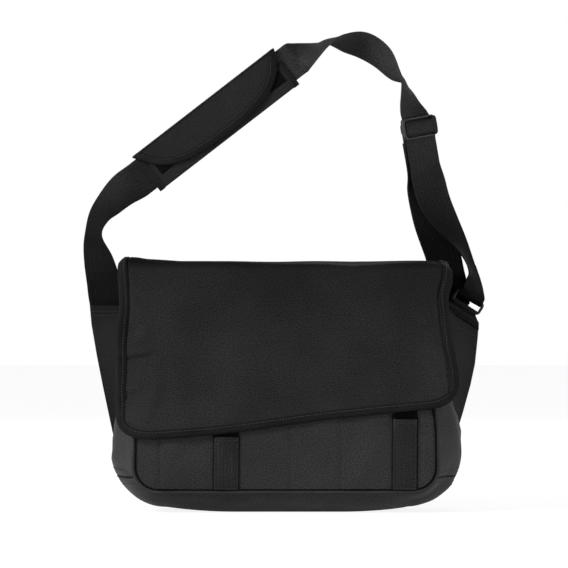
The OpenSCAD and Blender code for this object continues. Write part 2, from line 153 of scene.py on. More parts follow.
def spline(stations, steps):
    """Catmull-Rom curve; the first and last stations only give its end directions."""
    stations = [vec(*station) for station in stations]
    curve = []
    for p0, p1, p2, p3 in zip(stations, stations[1:], stations[2:], stations[3:]):
        for k in range(steps):
            t = k / steps
            curve.append(0.5 * (2 * p1 + (p2 - p0) * t + (2 * p0 - 5 * p1 + 4 * p2 - p3) * t * t
                                + (3 * p1 - p0 - 3 * p2 + p3) * t ** 3))
    return np.array(curve + [stations[-2]])


def run_length(line):
    steps = np.linalg.norm(np.diff(line, axis=0), axis=1)
    return np.concatenate([[0], np.cumsum(steps)])


def sample(line, lengths, where):
    return np.stack([np.interp(where, lengths, column) for column in line.T], 1)


def resample(line, spacing):
    line = np.asarray(line, float)
    lengths = run_length(line)
    count = max(2, int(round(lengths[-1] / spacing)) + 1)
    return sample(line, lengths, np.linspace(0, lengths[-1], count))


def sheet_normals(sheet_points):
    return unit(np.cross(np.gradient(sheet_points, axis=0), np.gradient(sheet_points, axis=1)))


def left_of(line):
    """Direction to the left of a flat line."""
    along = unit(np.gradient(line, axis=0))
    return np.stack([-along[:, 1], along[:, 0]], 1)


def surface_at(x, z, column_x, grid_z, values):
    """Value at one place, between the columns of a grid."""
    place = np.interp(x, column_x, np.arange(len(column_x)))
    k = int(np.clip(place, 0, len(column_x) - 2))
    first = np.interp(z, grid_z[k], values[k])
    return lerp(first, np.interp(z, grid_z[k + 1], values[k + 1]), place - k)


def arc(x, z, radius, start, end, count):
    """Points on an arc, with angles in degrees."""
    angle = np.radians(np.linspace(start, end, count))
    return list(np.stack([x + radius * np.cos(angle), z + radius * np.sin(angle)], 1))


def ellipse(half_x, half_z, count):
    angle = np.linspace(0, 2 * np.pi, count, endpoint=False)
    return np.stack([half_x * np.cos(angle), half_z * np.sin(angle)], 1)


def rounded_loop(left, right, half_height, radius, steps, spacing):
    """Closed rectangle; the first three sizes place the centres of its corner arcs."""
    loop = []
    for x, z, start in ((right, half_height, 0), (left, half_height, 90),
                        (left, -half_height, 180), (right, -half_height, 270)):
        loop += arc(x, z, radius, start, start + 90, steps + 1)
    return resample(np.array(loop + loop[:1]), spacing)[:-1]


# ------------------------------------------------------------------ meshes
# A mesh is passed about as its vertices, its faces and one UV in mm for each vertex.
def grid_faces(rows, columns, offset=0):
    i, j = grid(np.arange(rows - 1), np.arange(columns - 1))
    corner = (offset + i * columns + j).ravel()
    return np.stack([corner, corner + 1, corner + columns + 1, corner + columns], 1)


def closed_sheet(outer, inner):
    rows, columns = outer.shape[:2]
    count = rows * columns
    rim = np.array([i * columns for i in range(rows)]
                   + [(rows - 1) * columns + j for j in range(1, columns)]
                   + [i * columns + columns - 1 for i in range(rows - 2, -1, -1)]
                   + list(range(columns - 2, 0, -1)))
    after = np.roll(rim, -1)
    faces = [grid_faces(rows, columns), grid_faces(rows, columns, count)[:, ::-1],
             np.stack([rim, after, after + count, rim + count], 1)]
    return np.concatenate([outer.reshape(-1, 3), inner.reshape(-1, 3)]), np.concatenate(faces)


def sheet(outer, inner, across, along):
    """Closed sheet between two grids of points, with its UVs."""
    return *closed_sheet(outer, inner), np.concatenate([xyz(across, along, 0)[..., :2]
                                                        .reshape(-1, 2)] * 2)


def tube(rings, around, along, closed=False):
    """Skin over rings of points; around and along are the UVs."""
    rows, count = rings.shape[:2]
    i, j = grid(np.arange(rows if closed else rows - 1), np.arange(count))
    this, after, turn = i * count, (i + 1) % rows * count, (j + 1) % count
    faces = np.stack([this + j, this + turn, after + turn, after + j], -1).reshape(-1, 4).tolist()
    if not closed:
        faces += [list(range(count))[::-1], [(rows - 1) * count + k for k in range(count)]]
    return (rings.reshape(-1, 3), faces,
            np.stack([np.tile(around, rows), np.repeat(along, count)], 1))


def sweep(path, first, second, profile, closed=False):
    """Carry a profile along a path; its pairs run in the first and second directions."""
    profile = np.asarray(profile, float)
    first, second = (np.broadcast_to(way, path.shape)[:, None] for way in (first, second))
    rings = path[:, None] + first * profile[None, :, 0:1] + second * profile[None, :, 1:2]
    return tube(rings, run_length(profile), run_length(path), closed)


def loop_sweep(path, facing, profile):
    """Carry a profile round a closed path that lies square to facing."""
    along = unit(np.roll(path, -1, 0) - np.roll(path, 1, 0))
    first = unit(np.cross(along, facing))
    return sweep(path, first, unit(np.cross(first, along)), profile, closed=True)


def merge(parts):
    vertices, faces, uvs, offset = [], [], [], 0
    for part_vertices, part_faces, part_uvs in parts:
        vertices.append(part_vertices)
        uvs.append(part_uvs)
        faces += [[int(k) + offset for k in face] for face in part_faces]
        offset += len(part_vertices)
    return np.concatenate(vertices), faces, np.concatenate(uvs)


def new_object(name, vertices, faces):
    mesh = bpy.data.meshes.new(name)
    mesh.from_pydata((vertices * MM).tolist(), [], [list(map(int, face)) for face in faces])
    item = bpy.data.objects.new(name, mesh)
    bpy.context.scene.collection.objects.link(item)
    return item


def face_outwards(mesh):
    work = bmesh.new()
    work.from_mesh(mesh)
    bmesh.ops.recalc_face_normals(work, faces=work.faces)
    work.to_mesh(mesh)
    work.free()


def make(name, mesh, place, material, slot, *replaced):
    """Make a piece; place is the body it rides on, or (body, body, start, end), for which the
    piece is left in place on no body.
    """
    vertices, faces, uvs = mesh
    piece = new_object(name, vertices, faces)
    data = piece.data
    layer = data.uv_layers.new(name="UVMap")
    corners = np.empty(len(data.loops), int)
    data.loops.foreach_get("vertex_index", corners)
    layer.data.foreach_set("uv", np.asarray(uvs, np.float32)[corners].ravel())
    face_outwards(data)
    data.polygons.foreach_set("use_smooth", [True] * len(data.polygons))
    data.materials.append(material)
    if isinstance(place, str):
        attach(piece, place)
    else:
        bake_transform(piece)
    if replaced:
        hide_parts(*replaced)


STITCHES = {}       # object name: (place, material, parts)


def stitch(name, place, thread, path, facing, pitch=3.6, length=2.5, radius=0.42, lift=0.25):
    """Short raised threads along a dense line."""
    facing = np.broadcast_to(unit(facing), path.shape)
    lengths = run_length(path)
    rise = np.array([-0.5, lift, lift + 0.12, lift, -0.5])[:, None]
    for k in range(int(lengths[-1] / pitch)):
        run = (k + 0.2) * pitch + np.linspace(0, 1, 5) * length
        line = sample(path, lengths, run)
        out = unit(sample(facing, lengths, run))
        side = unit(np.cross(unit(np.gradient(line, axis=0)), out))
        part = sweep(line + out * rise, side, out, ellipse(radius, radius, 6))
        STITCHES.setdefault(name, (place, thread, []))[2].append(part)


def make_stitches():
    for name, (place, thread, parts) in STITCHES.items():
        make(name, merge(parts), place, thread, "binding")


# ------------------------------------------------------------------ cloth simulation
def add_cloth(item, pinned, frames, stiffness, **settings):
    item.vertex_groups.new(name="pin").add([int(k) for k in pinned], 1.0, "REPLACE")
    modifier = item.modifiers.new("c", "CLOTH")
    settings.update(tension_stiffness=stiffness, compression_stiffness=stiffness,
                    shear_stiffness=stiffness / 2, vertex_group_mass="pin")
    for name, value in settings.items():
        setattr(modifier.settings, name, value)
    modifier.point_cache.frame_start = 1
    modifier.point_cache.frame_end = frames + 2
    return modifier


def run_cloth(cloth, frames, *others):
    """Run the simulation, remove its objects and return the cloth's points in mm."""
    scene = bpy.context.scene
    kept_frame = scene.frame_current
    for k in range(1, frames + 1):
        scene.frame_set(k)
    data = cloth.evaluated_get(bpy.context.evaluated_depsgraph_get()).data
    result = np.empty(len(data.vertices) * 3)
    data.vertices.foreach_get("co", result)
    for item in (cloth, *others):
        mesh = item.data
        bpy.data.objects.remove(item, do_unlink=True)
        bpy.data.meshes.remove(mesh)
    scene.frame_set(kept_frame)
    return result.reshape(-1, 3) / MM


def puff(outer, inner, pinned, pressure, limit):
    frames = 18
    start, faces = closed_sheet(outer, inner)
    item = new_object("sim", start, faces)
    face_outwards(item.data)
    pins = np.nonzero(np.concatenate([pinned.ravel()] * 2) > 0.5)[0]
    modifier = add_cloth(item, pins, frames, stiffness=12.0, quality=5, mass=0.3,
                         bending_stiffness=0.5, use_pressure=True,
                         uniform_pressure_force=pressure, pin_stiffness=20,
                         tension_damping=15, air_damping=4)
    modifier.settings.effector_weights.gravity = 0
    modifier.collision_settings.use_collision = False
    moved = (run_cloth(item, frames) - start)[:len(start) // 2].reshape(outer.shape)
    # a simulation that blows up leaves the sheet as it was
    if not np.all(np.isfinite(moved)):
        return np.zeros(outer.shape[:2])
    length = np.linalg.norm(moved, axis=2, keepdims=True)
    moved = moved * (np.tanh(length / limit) * limit / np.maximum(length, 1e-9))
    return np.abs((moved * sheet_normals(outer)).sum(2))


# ------------------------------------------------------------------ materials
class Nodes:
    """Short ways to add nodes to a tree; an input takes a value or another node's output."""

    def __init__(self, tree):
        self.tree = tree

    def put(self, socket, value):
        if isinstance(value, bpy.types.NodeSocket):
            self.tree.links.new(value, socket)
        else:
            socket.default_value = value

    def fill(self, node, **inputs):
        for name, value in inputs.items():
            self.put(node.inputs[name.replace("_", " ")], value)
        return node

    def new(self, kind, **inputs):
        return self.fill(self.tree.nodes.new("ShaderNode" + kind), **inputs)

    def math(self, operation, *values):
        node = self.new("Math")
        node.operation = operation
        for socket, value in zip(node.inputs, values):
            self.put(socket, value)
        return node.outputs[0]

    def mul(self, first, second):
        return self.math("MULTIPLY", first, second)

    def add(self, first, second):
        return self.math("ADD", first, second)

    def sin(self, value):
        return self.math("SINE", value)


class Surface(Nodes):
    """A Principled material and the parts its recipes share."""

    def __init__(self, name):
        self.material = bpy.data.materials.new(name)
        self.material.use_nodes = True
        super().__init__(self.material.node_tree)
        self.shader = self.tree.nodes["Principled BSDF"]

    def uv(self):
        node = self.new("UVMap")
        node.uv_map = "UVMap"
        return node.outputs[0]

    def object_place(self):
        return self.new("TexCoord").outputs["Object"]

    def split(self, vector):
        return self.new("SeparateXYZ", Vector=vector).outputs

    def noise(self, vector, scale, detail=2.0, roughness=0.5):
        return self.new("TexNoise", Vector=vector, Scale=scale, Detail=detail,
                        Roughness=roughness).outputs["Fac"]

    def spread(self, value, low, high):
        """Stretch the middle half of a noise over low to high."""
        return self.new("MapRange", Value=value, From_Min=0.25, From_Max=0.75,
                        To_Min=low, To_Max=high).outputs["Result"]

    def painted_light_by_height(self, shade, place, painted_light_fades):
        """Painted light and shade by height; a fade is (from z, to z in metres, factor there,
        factor here).
        """
        for low, high, low_factor, high_factor in painted_light_fades:
            fade = self.new("MapRange", Value=self.split(place)[2], From_Min=low, From_Max=high,
                            To_Min=low_factor, To_Max=high_factor)
            shade = self.mul(shade, fade.outputs["Result"])
        return shade

    def finish(self, rgb, shade, height, bump, depth, rough, sheen, sheen_rough=0.45, spec=0.25):
        """Colour and specular follow the shade; depth is the bump distance in metres."""
        tint = self.new("VectorMath")
        tint.operation = "SCALE"
        self.put(tint.inputs[0], rgb)
        self.fill(tint, Scale=shade)
        relief = self.new("Bump", Strength=bump, Distance=depth, Height=height)
        self.fill(self.shader, Base_Color=tint.outputs[0], Normal=relief.outputs[0],
                  Roughness=rough, Sheen_Weight=sheen, Sheen_Roughness=sheen_rough,
                  Specular_IOR_Level=spec)
        self.fill(self.shader, Specular_IOR_Level=self.mul(shade, spec))
        return self.material


def weave(name, rgb, sheen, spec=0.22, pitch=1.2, bump=0.5, rough=0.72, vary=0.14, grain=0.24,
          painted_light_fades=()):
    """Plain weave: thread pitch in mm, patchiness (vary) and thread contrast (grain)."""
    s = Surface(name)
    uv = s.uv()
    across, along = s.split(uv)[:2]
    place = s.object_place()
    wobble = s.noise(uv, scale=0.35, detail=1.0)

    def threads(coordinate):
        return s.sin(s.add(s.mul(coordinate, 2 * math.pi / pitch), s.mul(wobble, 2.0)))

    cross = s.mul(threads(across), threads(along))
    fine = s.noise(uv, scale=0.9, detail=3.0, roughness=0.7)
    slub = s.noise(uv, scale=0.66, roughness=0.6)
    height = s.add(s.add(s.mul(cross, 0.5), s.mul(fine, 1.1)), s.mul(slub, 1.2))
    patches = s.spread(s.noise(place, scale=9.0, detail=3.0), 1 - vary, 1 + vary)
    contrast = 3.1 * grain
    small = s.mul(s.spread(fine, 1 - grain, 1 + grain), s.spread(slub, 1 - contrast, 1 + contrast))
    # the fades paint light and shade by height over the grain
    shade = s.painted_light_by_height(s.add(s.mul(patches, small), s.mul(cross, 0.10)), place, painted_light_fades)
    rough = s.spread(s.noise(place, scale=900.0), rough - 0.06, rough + 0.06)
    return s.finish(rgb, shade, height, bump=bump, depth=0.0006, rough=rough, sheen=sheen,
                    spec=spec)


def webbing(name, rgb, sheen, spec, rib=6.0, rung=1.8, rough=0.62, painted_light_fades=()):
    """Woven tape: ribs along its length and fine rungs across; UV v runs along it."""
    s = Surface(name)
    uv = s.uv()
    across, along = s.split(uv)[:2]
    place = s.object_place()
    ribs = s.sin(s.mul(across, 2 * math.pi / rib))
    zigzag = s.mul(s.math("ABSOLUTE", ribs), 2.4)
    rungs = s.sin(s.add(s.mul(along, 2 * math.pi / rung), zigzag))
    fine = s.noise(uv, scale=0.8, roughness=0.6)
    height = s.add(s.add(s.mul(ribs, 0.22), s.mul(rungs, 0.3)), s.mul(fine, 0.5))
    patches = s.spread(s.noise(place, scale=14.0), 0.85, 1.15)
    small = s.mul(s.spread(fine, 0.7, 1.3), s.spread(s.noise(uv, scale=0.52), 0.4, 1.6))
    # the fades paint light and shade by height over the weave
    shade = s.painted_light_by_height(s.add(s.mul(patches, small), s.mul(ribs, 0.05)), place, painted_light_fades)
    return s.finish(rgb, shade, height, bump=0.4, depth=0.0006, rough=rough, sheen=sheen,
                    sheen_rough=0.4, spec=spec)


def ribbed_tape(name, rgb, sheen, spec=0.28, pitch=1.3):
    """Binding with fine ribs across the tape."""
    s = Surface(name)
    uv = s.uv()
    ribs = s.sin(s.mul(s.split(uv)[1], 2 * math.pi / pitch))
    fine = s.noise(uv, scale=0.7, roughness=0.6)
    height = s.add(s.mul(ribs, 0.4), s.mul(fine, 0.6))
    small = s.mul(s.spread(fine, 0.8, 1.2), s.spread(s.noise(uv, scale=0.6), 0.7, 1.3))
    shade = s.mul(s.spread(s.noise(s.object_place(), scale=22.0), 0.82, 1.18), small)
    return s.finish(rgb, shade, height, bump=0.5, depth=0.0005, rough=0.6, sheen=sheen,
                    sheen_rough=0.4, spec=spec)


def pile(name, rgb, scale=1.3, bump=0.9):
    s = Surface(name)
    uv = s.uv()
    cells = s.new("TexVoronoi", Scale=scale, Vector=uv).outputs["Distance"]
    fine = s.noise(uv, scale=1.6, detail=4.0, roughness=0.7)
    return s.finish(rgb, s.spread(fine, 0.8, 1.2), s.add(cells, fine), bump=bump, depth=0.001,
                    rough=0.85, sheen=0.5)


def plastic(name, rgb, rough=0.42, spec=0.5):
    s = Surface(name)
    place = s.object_place()
    fine = s.noise(place, scale=1500.0, detail=3.0, roughness=0.6)
    broad = s.noise(place, scale=40.0)
    return s.finish(rgb, s.spread(broad, 0.9, 1.1), fine, bump=0.25, depth=0.0003,
                    rough=s.spread(broad, rough - 0.06, rough + 0.08), sheen=0.0,
                    sheen_rough=0.3, spec=spec)


def sewing_thread(name, rgb):
    s = Surface(name)
    place = s.object_place()
    twist = s.new("TexWave", Scale=700.0, Vector=place)
    twist.bands_direction = "DIAGONAL"
    shade = s.spread(s.noise(place, scale=300.0), 0.85, 1.15)
    return s.finish(rgb, shade, twist.outputs["Fac"], bump=0.4, depth=0.0002, rough=0.5,
                    sheen=0.2, sheen_rough=0.4, spec=0.4)


MAT = SimpleNamespace(
    # flap: painted light, brighter low down and darker towards the top, with a painted shade band
    # along the top edge
    flap=weave("flap_cloth", (0.0152, 0.0152, 0.0156), sheen=0.03, spec=0.13, grain=0.26,
               vary=0.24, painted_light_fades=((0.12, 0.33, 1.27, 0.76), (0.318, 0.329, 1.0, 0.35))),
    pocket=weave("pocket_cloth", (0.0265, 0.0265, 0.0270), sheen=0.04, spec=0.18, grain=0.26,
                 vary=0.2),
    # gussets and base: painted shade, darker above 150 mm where the flap shades them, lighter near
    # the floor
    gusset=weave("gusset_cloth", (0.0156, 0.0156, 0.0161), sheen=0.15, spec=0.34, bump=0.4,
                 rough=0.5, grain=0.22, vary=0.26, painted_light_fades=((0.06, 0.15, 1.05, 0.62),)),
    back=weave("back_cloth", (0.019, 0.019, 0.0195), sheen=0.06, pitch=1.6, bump=0.6),
    # wings: painted shade, darker towards the bottom where they pass behind the body; the left
    # wing is a darker, shaded copy of the same cloth
    right_wing=weave("wing_cloth", (0.0158, 0.0158, 0.0162), sheen=0.04, spec=0.15, vary=0.2,
                     painted_light_fades=((0.08, 0.24, 0.5, 1.05),)),
    left_wing=weave("left_wing_cloth_painted_shade", (0.0118, 0.0118, 0.0121), sheen=0.03, spec=0.12,
                    vary=0.25, painted_light_fades=((0.08, 0.24, 0.35, 1.05),)),
    pad=weave("pad_cloth", (0.0150, 0.0150, 0.0154), sheen=0.04, spec=0.15, pitch=1.1),
    flange=weave("flange_cloth", (0.0175, 0.0175, 0.0179), sheen=0.06, spec=0.15, pitch=1.1),
    mesh=pile("pad_mesh", (0.02, 0.02, 0.0205), scale=0.5),
    lining=weave("lining_cloth", (0.060, 0.060, 0.062), sheen=0.2, pitch=0.7, bump=0.2,
                 rough=0.5, grain=0.06),
    # webbing: painted light, dark low down and much lighter towards the top of the strap
    strap=webbing("strap_webbing_weave", (0.0085, 0.0085, 0.0088), sheen=0.015, spec=0.12,
                  painted_light_fades=((0.36, 0.60, 0.49, 2.35),)),
    keeper=webbing("keeper_weave", (0.0100, 0.0100, 0.0103), sheen=0.02, spec=0.14),
    sleeve=webbing("sleeve_webbing_weave", (0.0115, 0.0115, 0.0118), sheen=0.04, spec=0.2,
                   rib=50.0, rung=1.5, rough=0.6),
    binding=ribbed_tape("binding_tape", (0.0066, 0.0066, 0.0069), sheen=0.01, spec=0.12),
    welt=ribbed_tape("welt_tape", (0.0185, 0.0185, 0.019), sheen=0.08),
    loops=pile("loop_pile", (0.013, 0.013, 0.0135)),
    hooks=pile("hook_pile", (0.010, 0.010, 0.0105), scale=0.9, bump=1.0),
    plastic=plastic("moulded_plastic", (0.0165, 0.0165, 0.0171)),
    ring=plastic("ring_plastic", (0.012, 0.012, 0.0124), rough=0.35, spec=0.4),
    foam=pile("foam_cells", (0.10, 0.10, 0.10), scale=0.8, bump=0.4),
    board=plastic("stiff_board", (0.06, 0.06, 0.062), rough=0.55, spec=0.3),
    # near-black tape for painted shadows in seams, gaps and recesses
    shadow=ribbed_tape("painted_shadow_tape", (0.0022, 0.0022, 0.0023), sheen=0.0, spec=0.05),
    thread=sewing_thread("sewing_thread", (0.021, 0.021, 0.0215)),
    dark_thread=sewing_thread("dark_thread", (0.009, 0.009, 0.0092)),
)

# ------------------------------------------------------------------ body
BACK_Y, FRONT_Y = 52.0, -55.0
BODY_X, HALF_WIDTH, BODY_TOP = -1.5, 228.5, 322.0
SIDE_COUNT, CORNER_COUNT, BASE_COUNT = 26, 18, 48
SEAM_STEP = 5       # the cross seams lie this many outline points inside the base corners
LEFT_SEAM = SIDE_COUNT + SEAM_STEP
RIGHT_SEAM = SIDE_COUNT + CORNER_COUNT + BASE_COUNT + CORNER_COUNT - SEAM_STEP


def body_outline(y, inset, sides=SIDE_COUNT, corners=CORNER_COUNT, base=BASE_COUNT):
    """The U of the body at depth y, from the top left round the base to the top right."""
    front = max((-15 - y) / 40, 0) ** 2.2       # 1 at the front, where the body is smaller
    rear = 1 - front
    left = BODY_X - HALF_WIDTH + 27 * front + inset
    right = BODY_X + HALF_WIDTH - 30 * front - inset
    bottom = 27 * front + inset
    radius = lerp(70, 34, front) - inset
    side_bottom = bottom + radius + 6.5 * rear
    left_centre, right_centre = left + radius, right - radius

    def lean(z, pull, start):
        wall = 13 * np.clip((z - 77) / 250, 0, 1) + pull * smooth((z - start) / 55)
        return wall * (0.35 + 0.65 * rear)

    heights = [lerp(BODY_TOP, side_bottom, k / sides) for k in range(sides)]
    line = [(left + lean(z, 8.0, 104), z) for z in heights]
    line += arc(left_centre, side_bottom, radius, 180, 270, corners + 1)
    for k in range(1, base):
        x = lerp(left_centre, right_centre, k / base)
        lift = 6.5 * np.clip((abs(x) - 70) / 90, 0, 1) ** 2
        line.append((x, bottom + lift * rear))
    line += arc(right_centre, side_bottom, radius, 270, 360, corners + 1)
    line += [(right - lean(z, 11.0, 100), z) for z in heights[::-1]]
    x, z = np.array(line).T
    return xyz(x, y, z)


def outline_outward(line):
    return unit(np.cross(BACKWARD, unit(np.gradient(line, axis=0))))


def gussets_and_base():
    depths = np.concatenate([np.linspace(FRONT_Y, -30, 16), np.linspace(-27, BACK_Y, 22)])
    plain = np.array([body_outline(y, 0.0) for y in depths])
    out = sheet_normals(plain)
    lengths = run_length(plain[-1])
    depth, length = grid(depths, lengths)
    x, z = plain[..., 0], plain[..., 2]
    edge = smooth((depth - FRONT_Y) / 14) * smooth((BACK_Y - depth) / 14)
    lift = edge * (1.6 * waves(depth, length, 60, 150, count=7, seed=3)
                   + 0.8 * waves(depth, length, 22, 60, count=7, seed=4))
    left_length, right_length = lengths[LEFT_SEAM], lengths[RIGHT_SEAM]
    for seam in (left_length, right_length):
        gap = np.abs(length - seam)
        lift = lift - 1.2 * bell(gap, 4.0) + 0.6 * bell(gap - 9, 6.0)
    side = np.clip(np.maximum(left_length - length, length - right_length) / 120, 0, 1)
    bulge = 3.0 * np.sin(np.pi * np.clip((depth - FRONT_Y) / (BACK_Y - FRONT_Y), 0, 1))
    lift = lift + bulge * (0.45 + 0.5 * side)
    # the base stays flat on the floor
    on_floor = 1 - bell(np.maximum(z - 2, 0), 10)
    down = np.clip(-out[..., 2], 0, 1)
    right_dent = 3.6 * bell(x - 200, 34) * bell(z - 30, 34) * edge
    left_dent = 1.2 * bell(x + 205, 34) * bell(z - 26, 34) * edge
    creases = edge * (0.8 * waves(depth * 0.12, length, 9, 24, count=8, seed=15)
                      * bell(length - left_length, 90)
                      + 0.6 * waves(depth * 0.12, length, 10, 26, count=8, seed=16)
                      * bell(length - right_length, 80))
    lift = (lift * np.where(down > 0.2, on_floor, 1) - right_dent - left_dent
            + creases * np.where(down > 0.6, 0, 1))
    lift = np.where(z + out[..., 2] * lift < 0.2, 0.0, lift)
    outer = plain + out * lift[..., None]
    inner = outer - out * 2.0
    for name, start, end, replaced in (
            ("left_gusset_panel", 0, LEFT_SEAM, "left_gusset"),
            ("base_panel", LEFT_SEAM, RIGHT_SEAM, "bottom_panel"),
            ("right_gusset_panel", RIGHT_SEAM, len(lengths) - 1, "right_gusset")):
        part = np.s_[:, start:end + 1]
        make(name, sheet(outer[part], inner[part], depth[part], length[part]), "bag",
             MAT.gusset, "cloth", replaced)
    # turned edges over the cross seams, with stitches on both sides
    turned_edge = [(-1.3, -0.6), (-1.1, 0.5), (-0.5, 1.0), (0.5, 1.0), (1.1, 0.5), (1.3, -0.6)]
    for name, seam in (("left", LEFT_SEAM), ("right", RIGHT_SEAM)):
        path, facing = outer[:, seam], out[:, seam]
        across = unit(np.cross(unit(np.gradient(path, axis=0)), facing))
        make("corner_seam_" + name, sweep(path, across, facing, turned_edge), "bag",
             MAT.binding, "binding")
        for k in (seam - 2, seam + 2):
            stitch("gusset_stitches", "bag", MAT.dark_thread, outer[2:-2, k], out[2:-2, k])


def panel_grid(y, inset, top, columns, rows):
    """Flat panel inside the outline: x, z and the shares across and up."""
    line = body_outline(y, inset, 40, 40, 60)
    base, left, right = line[40:-40], line[:41][::-1], line[-41:]
    across = eased(columns, 0.35)
    up = np.linspace(0, 1, rows)
    bottom = np.interp(lerp(base[0, 0], base[-1, 0], across), base[:, 0], base[:, 2])
    z = bottom[:, None] + (top - bottom)[:, None] * up[None]
    x_left = np.interp(z, left[:, 2], left[:, 0])
    x_right = np.interp(z, right[:, 2], right[:, 0])
    return x_left + (x_right - x_left) * across[:, None], z, across, up


def front_panel():
    """Panel behind the pocket."""
    x, z, across, up = panel_grid(FRONT_Y, 0.3, BODY_TOP - 2, 70, 50)
    y = FRONT_Y - 1.4 - 0.8 * crown(across, up)
    make("front_body_panel", sheet(xyz(x, y - 0.9, z), xyz(x, y + 0.9, z), x, z), "bag",
         MAT.pocket, "cloth", "front_panel")


def back_panel():
    """Padded panel with two level rows of quilting."""
    quilting = (110, 215)
    x, z, across, up = panel_grid(BACK_Y, 0.3, BODY_TOP, 90, 64)
    outer, inner = xyz(x, BACK_Y + 2.4, z), xyz(x, BACK_Y - 0.6, z)
    pinned = np.zeros(x.shape)
    pinned[[0, -1], :] = 1
    pinned[:, [0, -1]] = 1
    swell = puff(outer, inner, pinned, pressure=6.0, limit=4.0)
    swell = swell * np.minimum(1, np.minimum(np.minimum(across, 1 - across)[:, None] * 25,
                                             np.minimum(up, 1 - up)[None] * 18))
    swell = (smooth_grid(swell, 3)
             + 0.5 * waves(x, z, 50, 140, count=6, seed=9) * crown(across, up))
    for level in quilting:
        swell = swell - 1.9 * bell(z - level, 2.6) * crown(across, up, 10)
    outer[..., 1] += np.maximum(swell, -1.2)
    make("padded_back_panel", sheet(outer, inner, x, z), "bag", MAT.back, "cloth",
         "back_panel", "back_foam")
    seam_x = np.linspace(-205, 200, 160)
    for level in quilting:
        row = outer[np.arange(len(across)), np.argmin(np.abs(z - level), axis=1)]
        seam = xyz(seam_x, np.interp(seam_x, row[:, 0], row[:, 1]), level)
        stitch("back_stitches", "bag", MAT.dark_thread, seam, BACKWARD)


def back_piping():
    """Cord round the back seam, with its tape."""
    line = resample(body_outline(BACK_Y, 0.9, 40, 40, 60), 4.0)
    out = outline_outward(line)
    z = line[:, 2]
    stand = 0.9 + 2.7 * smooth((z - 3) / 14) * (1 - smooth((z - 90) / 40))
    section = [(-6.5, -0.8), (-1.6, -1.0), (-0.8, -1.7), (0.6, -1.8), (1.6, -1.1), (1.9, 0),
               (1.6, 1.1), (0.6, 1.8), (-0.8, 1.7), (-1.6, 1.0), (-6.5, 0.8)]
    mesh = sweep(line + 2.2 * BACKWARD + out * stand[:, None], out, BACKWARD, section)
    mesh[0][:, 2] = np.maximum(mesh[0][:, 2], 0.1)
    make("back_piping_cord", mesh, "bag", MAT.binding, "binding", "back_piping")


# ------------------------------------------------------------------ front pocket
POCKET_BACK = FRONT_Y - 2.8
POCKET_TOP = 205
POCKET_SEAMS = (-169.0, 1.5, 67.0)      # x of the upright stitch lines
POCKET_FOLDS = [(-150, 60, -120, 88, -0.8, 8, 0), (95, 50, 118, 92, 0.8, 9, 0),
                (20, 45, 50, 60, -0.6, 8, 0)]


def pocket_shape(x, z):
    """y of the pocket cloth: crowned, and drawn in along its stitch lines."""
    middle = ((1 - np.abs(np.clip((x + 3) / 200, -1, 1)) ** 5)
              * (1 - np.clip((72 - z) / 46, 0, 1) ** 3))
    height = middle * (3.6 + waves(x, z, 70, 160, count=6, seed=21)
                       + 0.35 * waves(x, z, 22, 50, count=6, seed=22))
    for seam in POCKET_SEAMS:
        height = (height - 0.7 * bell(x - seam, 2.2)
                  + 0.15 * bell(np.abs(x - seam) - 8, 6.0))
    height = add_folds(height, x, z, POCKET_FOLDS)
    return POCKET_BACK - 1.6 - np.maximum(height, 0.0)


def pocket_grid():
    x, z, across, up = panel_grid(FRONT_Y, 4.0, POCKET_TOP, 110, 70)
    y = pocket_shape(x, z)
    pinned = np.zeros(x.shape)
    pinned[[0, -1], :] = 1
    pinned[:, 0] = 1
    swell = puff(xyz(x, y - 0.2, z), xyz(x, y + 1.8, z), pinned, pressure=3.0, limit=1.8)
    y = y - np.clip(smooth_grid(swell, 4), 0, 1.6) * crown(across, up, 6) * 0.6
    return x, y, z


POCKET_X, POCKET_Y, POCKET_Z = pocket_grid()


@np.vectorize
def pocket_front(x, z):
    """y of the outer face of the pocket."""
    return surface_at(x, z, POCKET_X[:, 35], POCKET_Z, POCKET_Y) - 0.4


def pocket_panel():
    outer = xyz(POCKET_X, POCKET_Y - 0.4, POCKET_Z)
    inner = xyz(POCKET_X, np.minimum(POCKET_Y + 1.6, POCKET_BACK), POCKET_Z)
    make("front_pocket_panel", sheet(outer, inner, POCKET_X, POCKET_Z), "bag", MAT.pocket,
         "cloth", "front_pocket")
    z = np.linspace(33, 200, 90)
    for x in POCKET_SEAMS:
        stitch("pocket_seams", "bag", MAT.dark_thread, xyz(x, pocket_front(x, z), z), FORWARD,
               pitch=4.8, length=2.7, radius=0.6, lift=0.45)


def pocket_welt():
    """Corded edge over the pocket's seam, with a painted shadow line (a thin near-black cord) and
    stitches inside it.
    """
    line = body_outline(FRONT_Y, 1.8, 30, 26, 60)
    line = resample(line[line[:, 2] < POCKET_TOP - 1], 3.0)
    out = outline_outward(line)

    def laid_on_pocket(inset, lift):
        x, _, z = (line - out * inset).T
        on_cloth = (z > 33) & (z < 200)
        return xyz(x, np.where(on_cloth, pocket_front(x, z), POCKET_BACK - 2.2) - lift, z)

    wobble = 0.35 * waves(np.arange(len(line)) * 3.0, 0.0, 40, 120, count=4, seed=5)
    section = ellipse(2.5, 1.9, 18)
    section[section[:, 0] <= 0, 0] *= 1.1
    path = line + 3.9 * FORWARD + out * (wobble + 0.9)[:, None]
    make("pocket_welt_cord", sweep(path, out, FORWARD, section), "bag", MAT.welt, "binding",
         "pocket_welt")
    # painted shadow: a near-black cord along the seam between pocket and welt
    make("pocket_seam_painted_shadow", sweep(laid_on_pocket(2.4, 0.5), out, FORWARD,
                                   ellipse(0.95, 0.95, 10)), "bag", MAT.shadow, "binding")
    stitch("pocket_edge_stitches", "bag", MAT.dark_thread, laid_on_pocket(3.4, 0), FORWARD,
           pitch=3.8, length=2.6, radius=0.4)


SLEEVE_BOTTOM = 31
SLEEVE_LEAN = 0.0072        # shift to the right for each mm of height


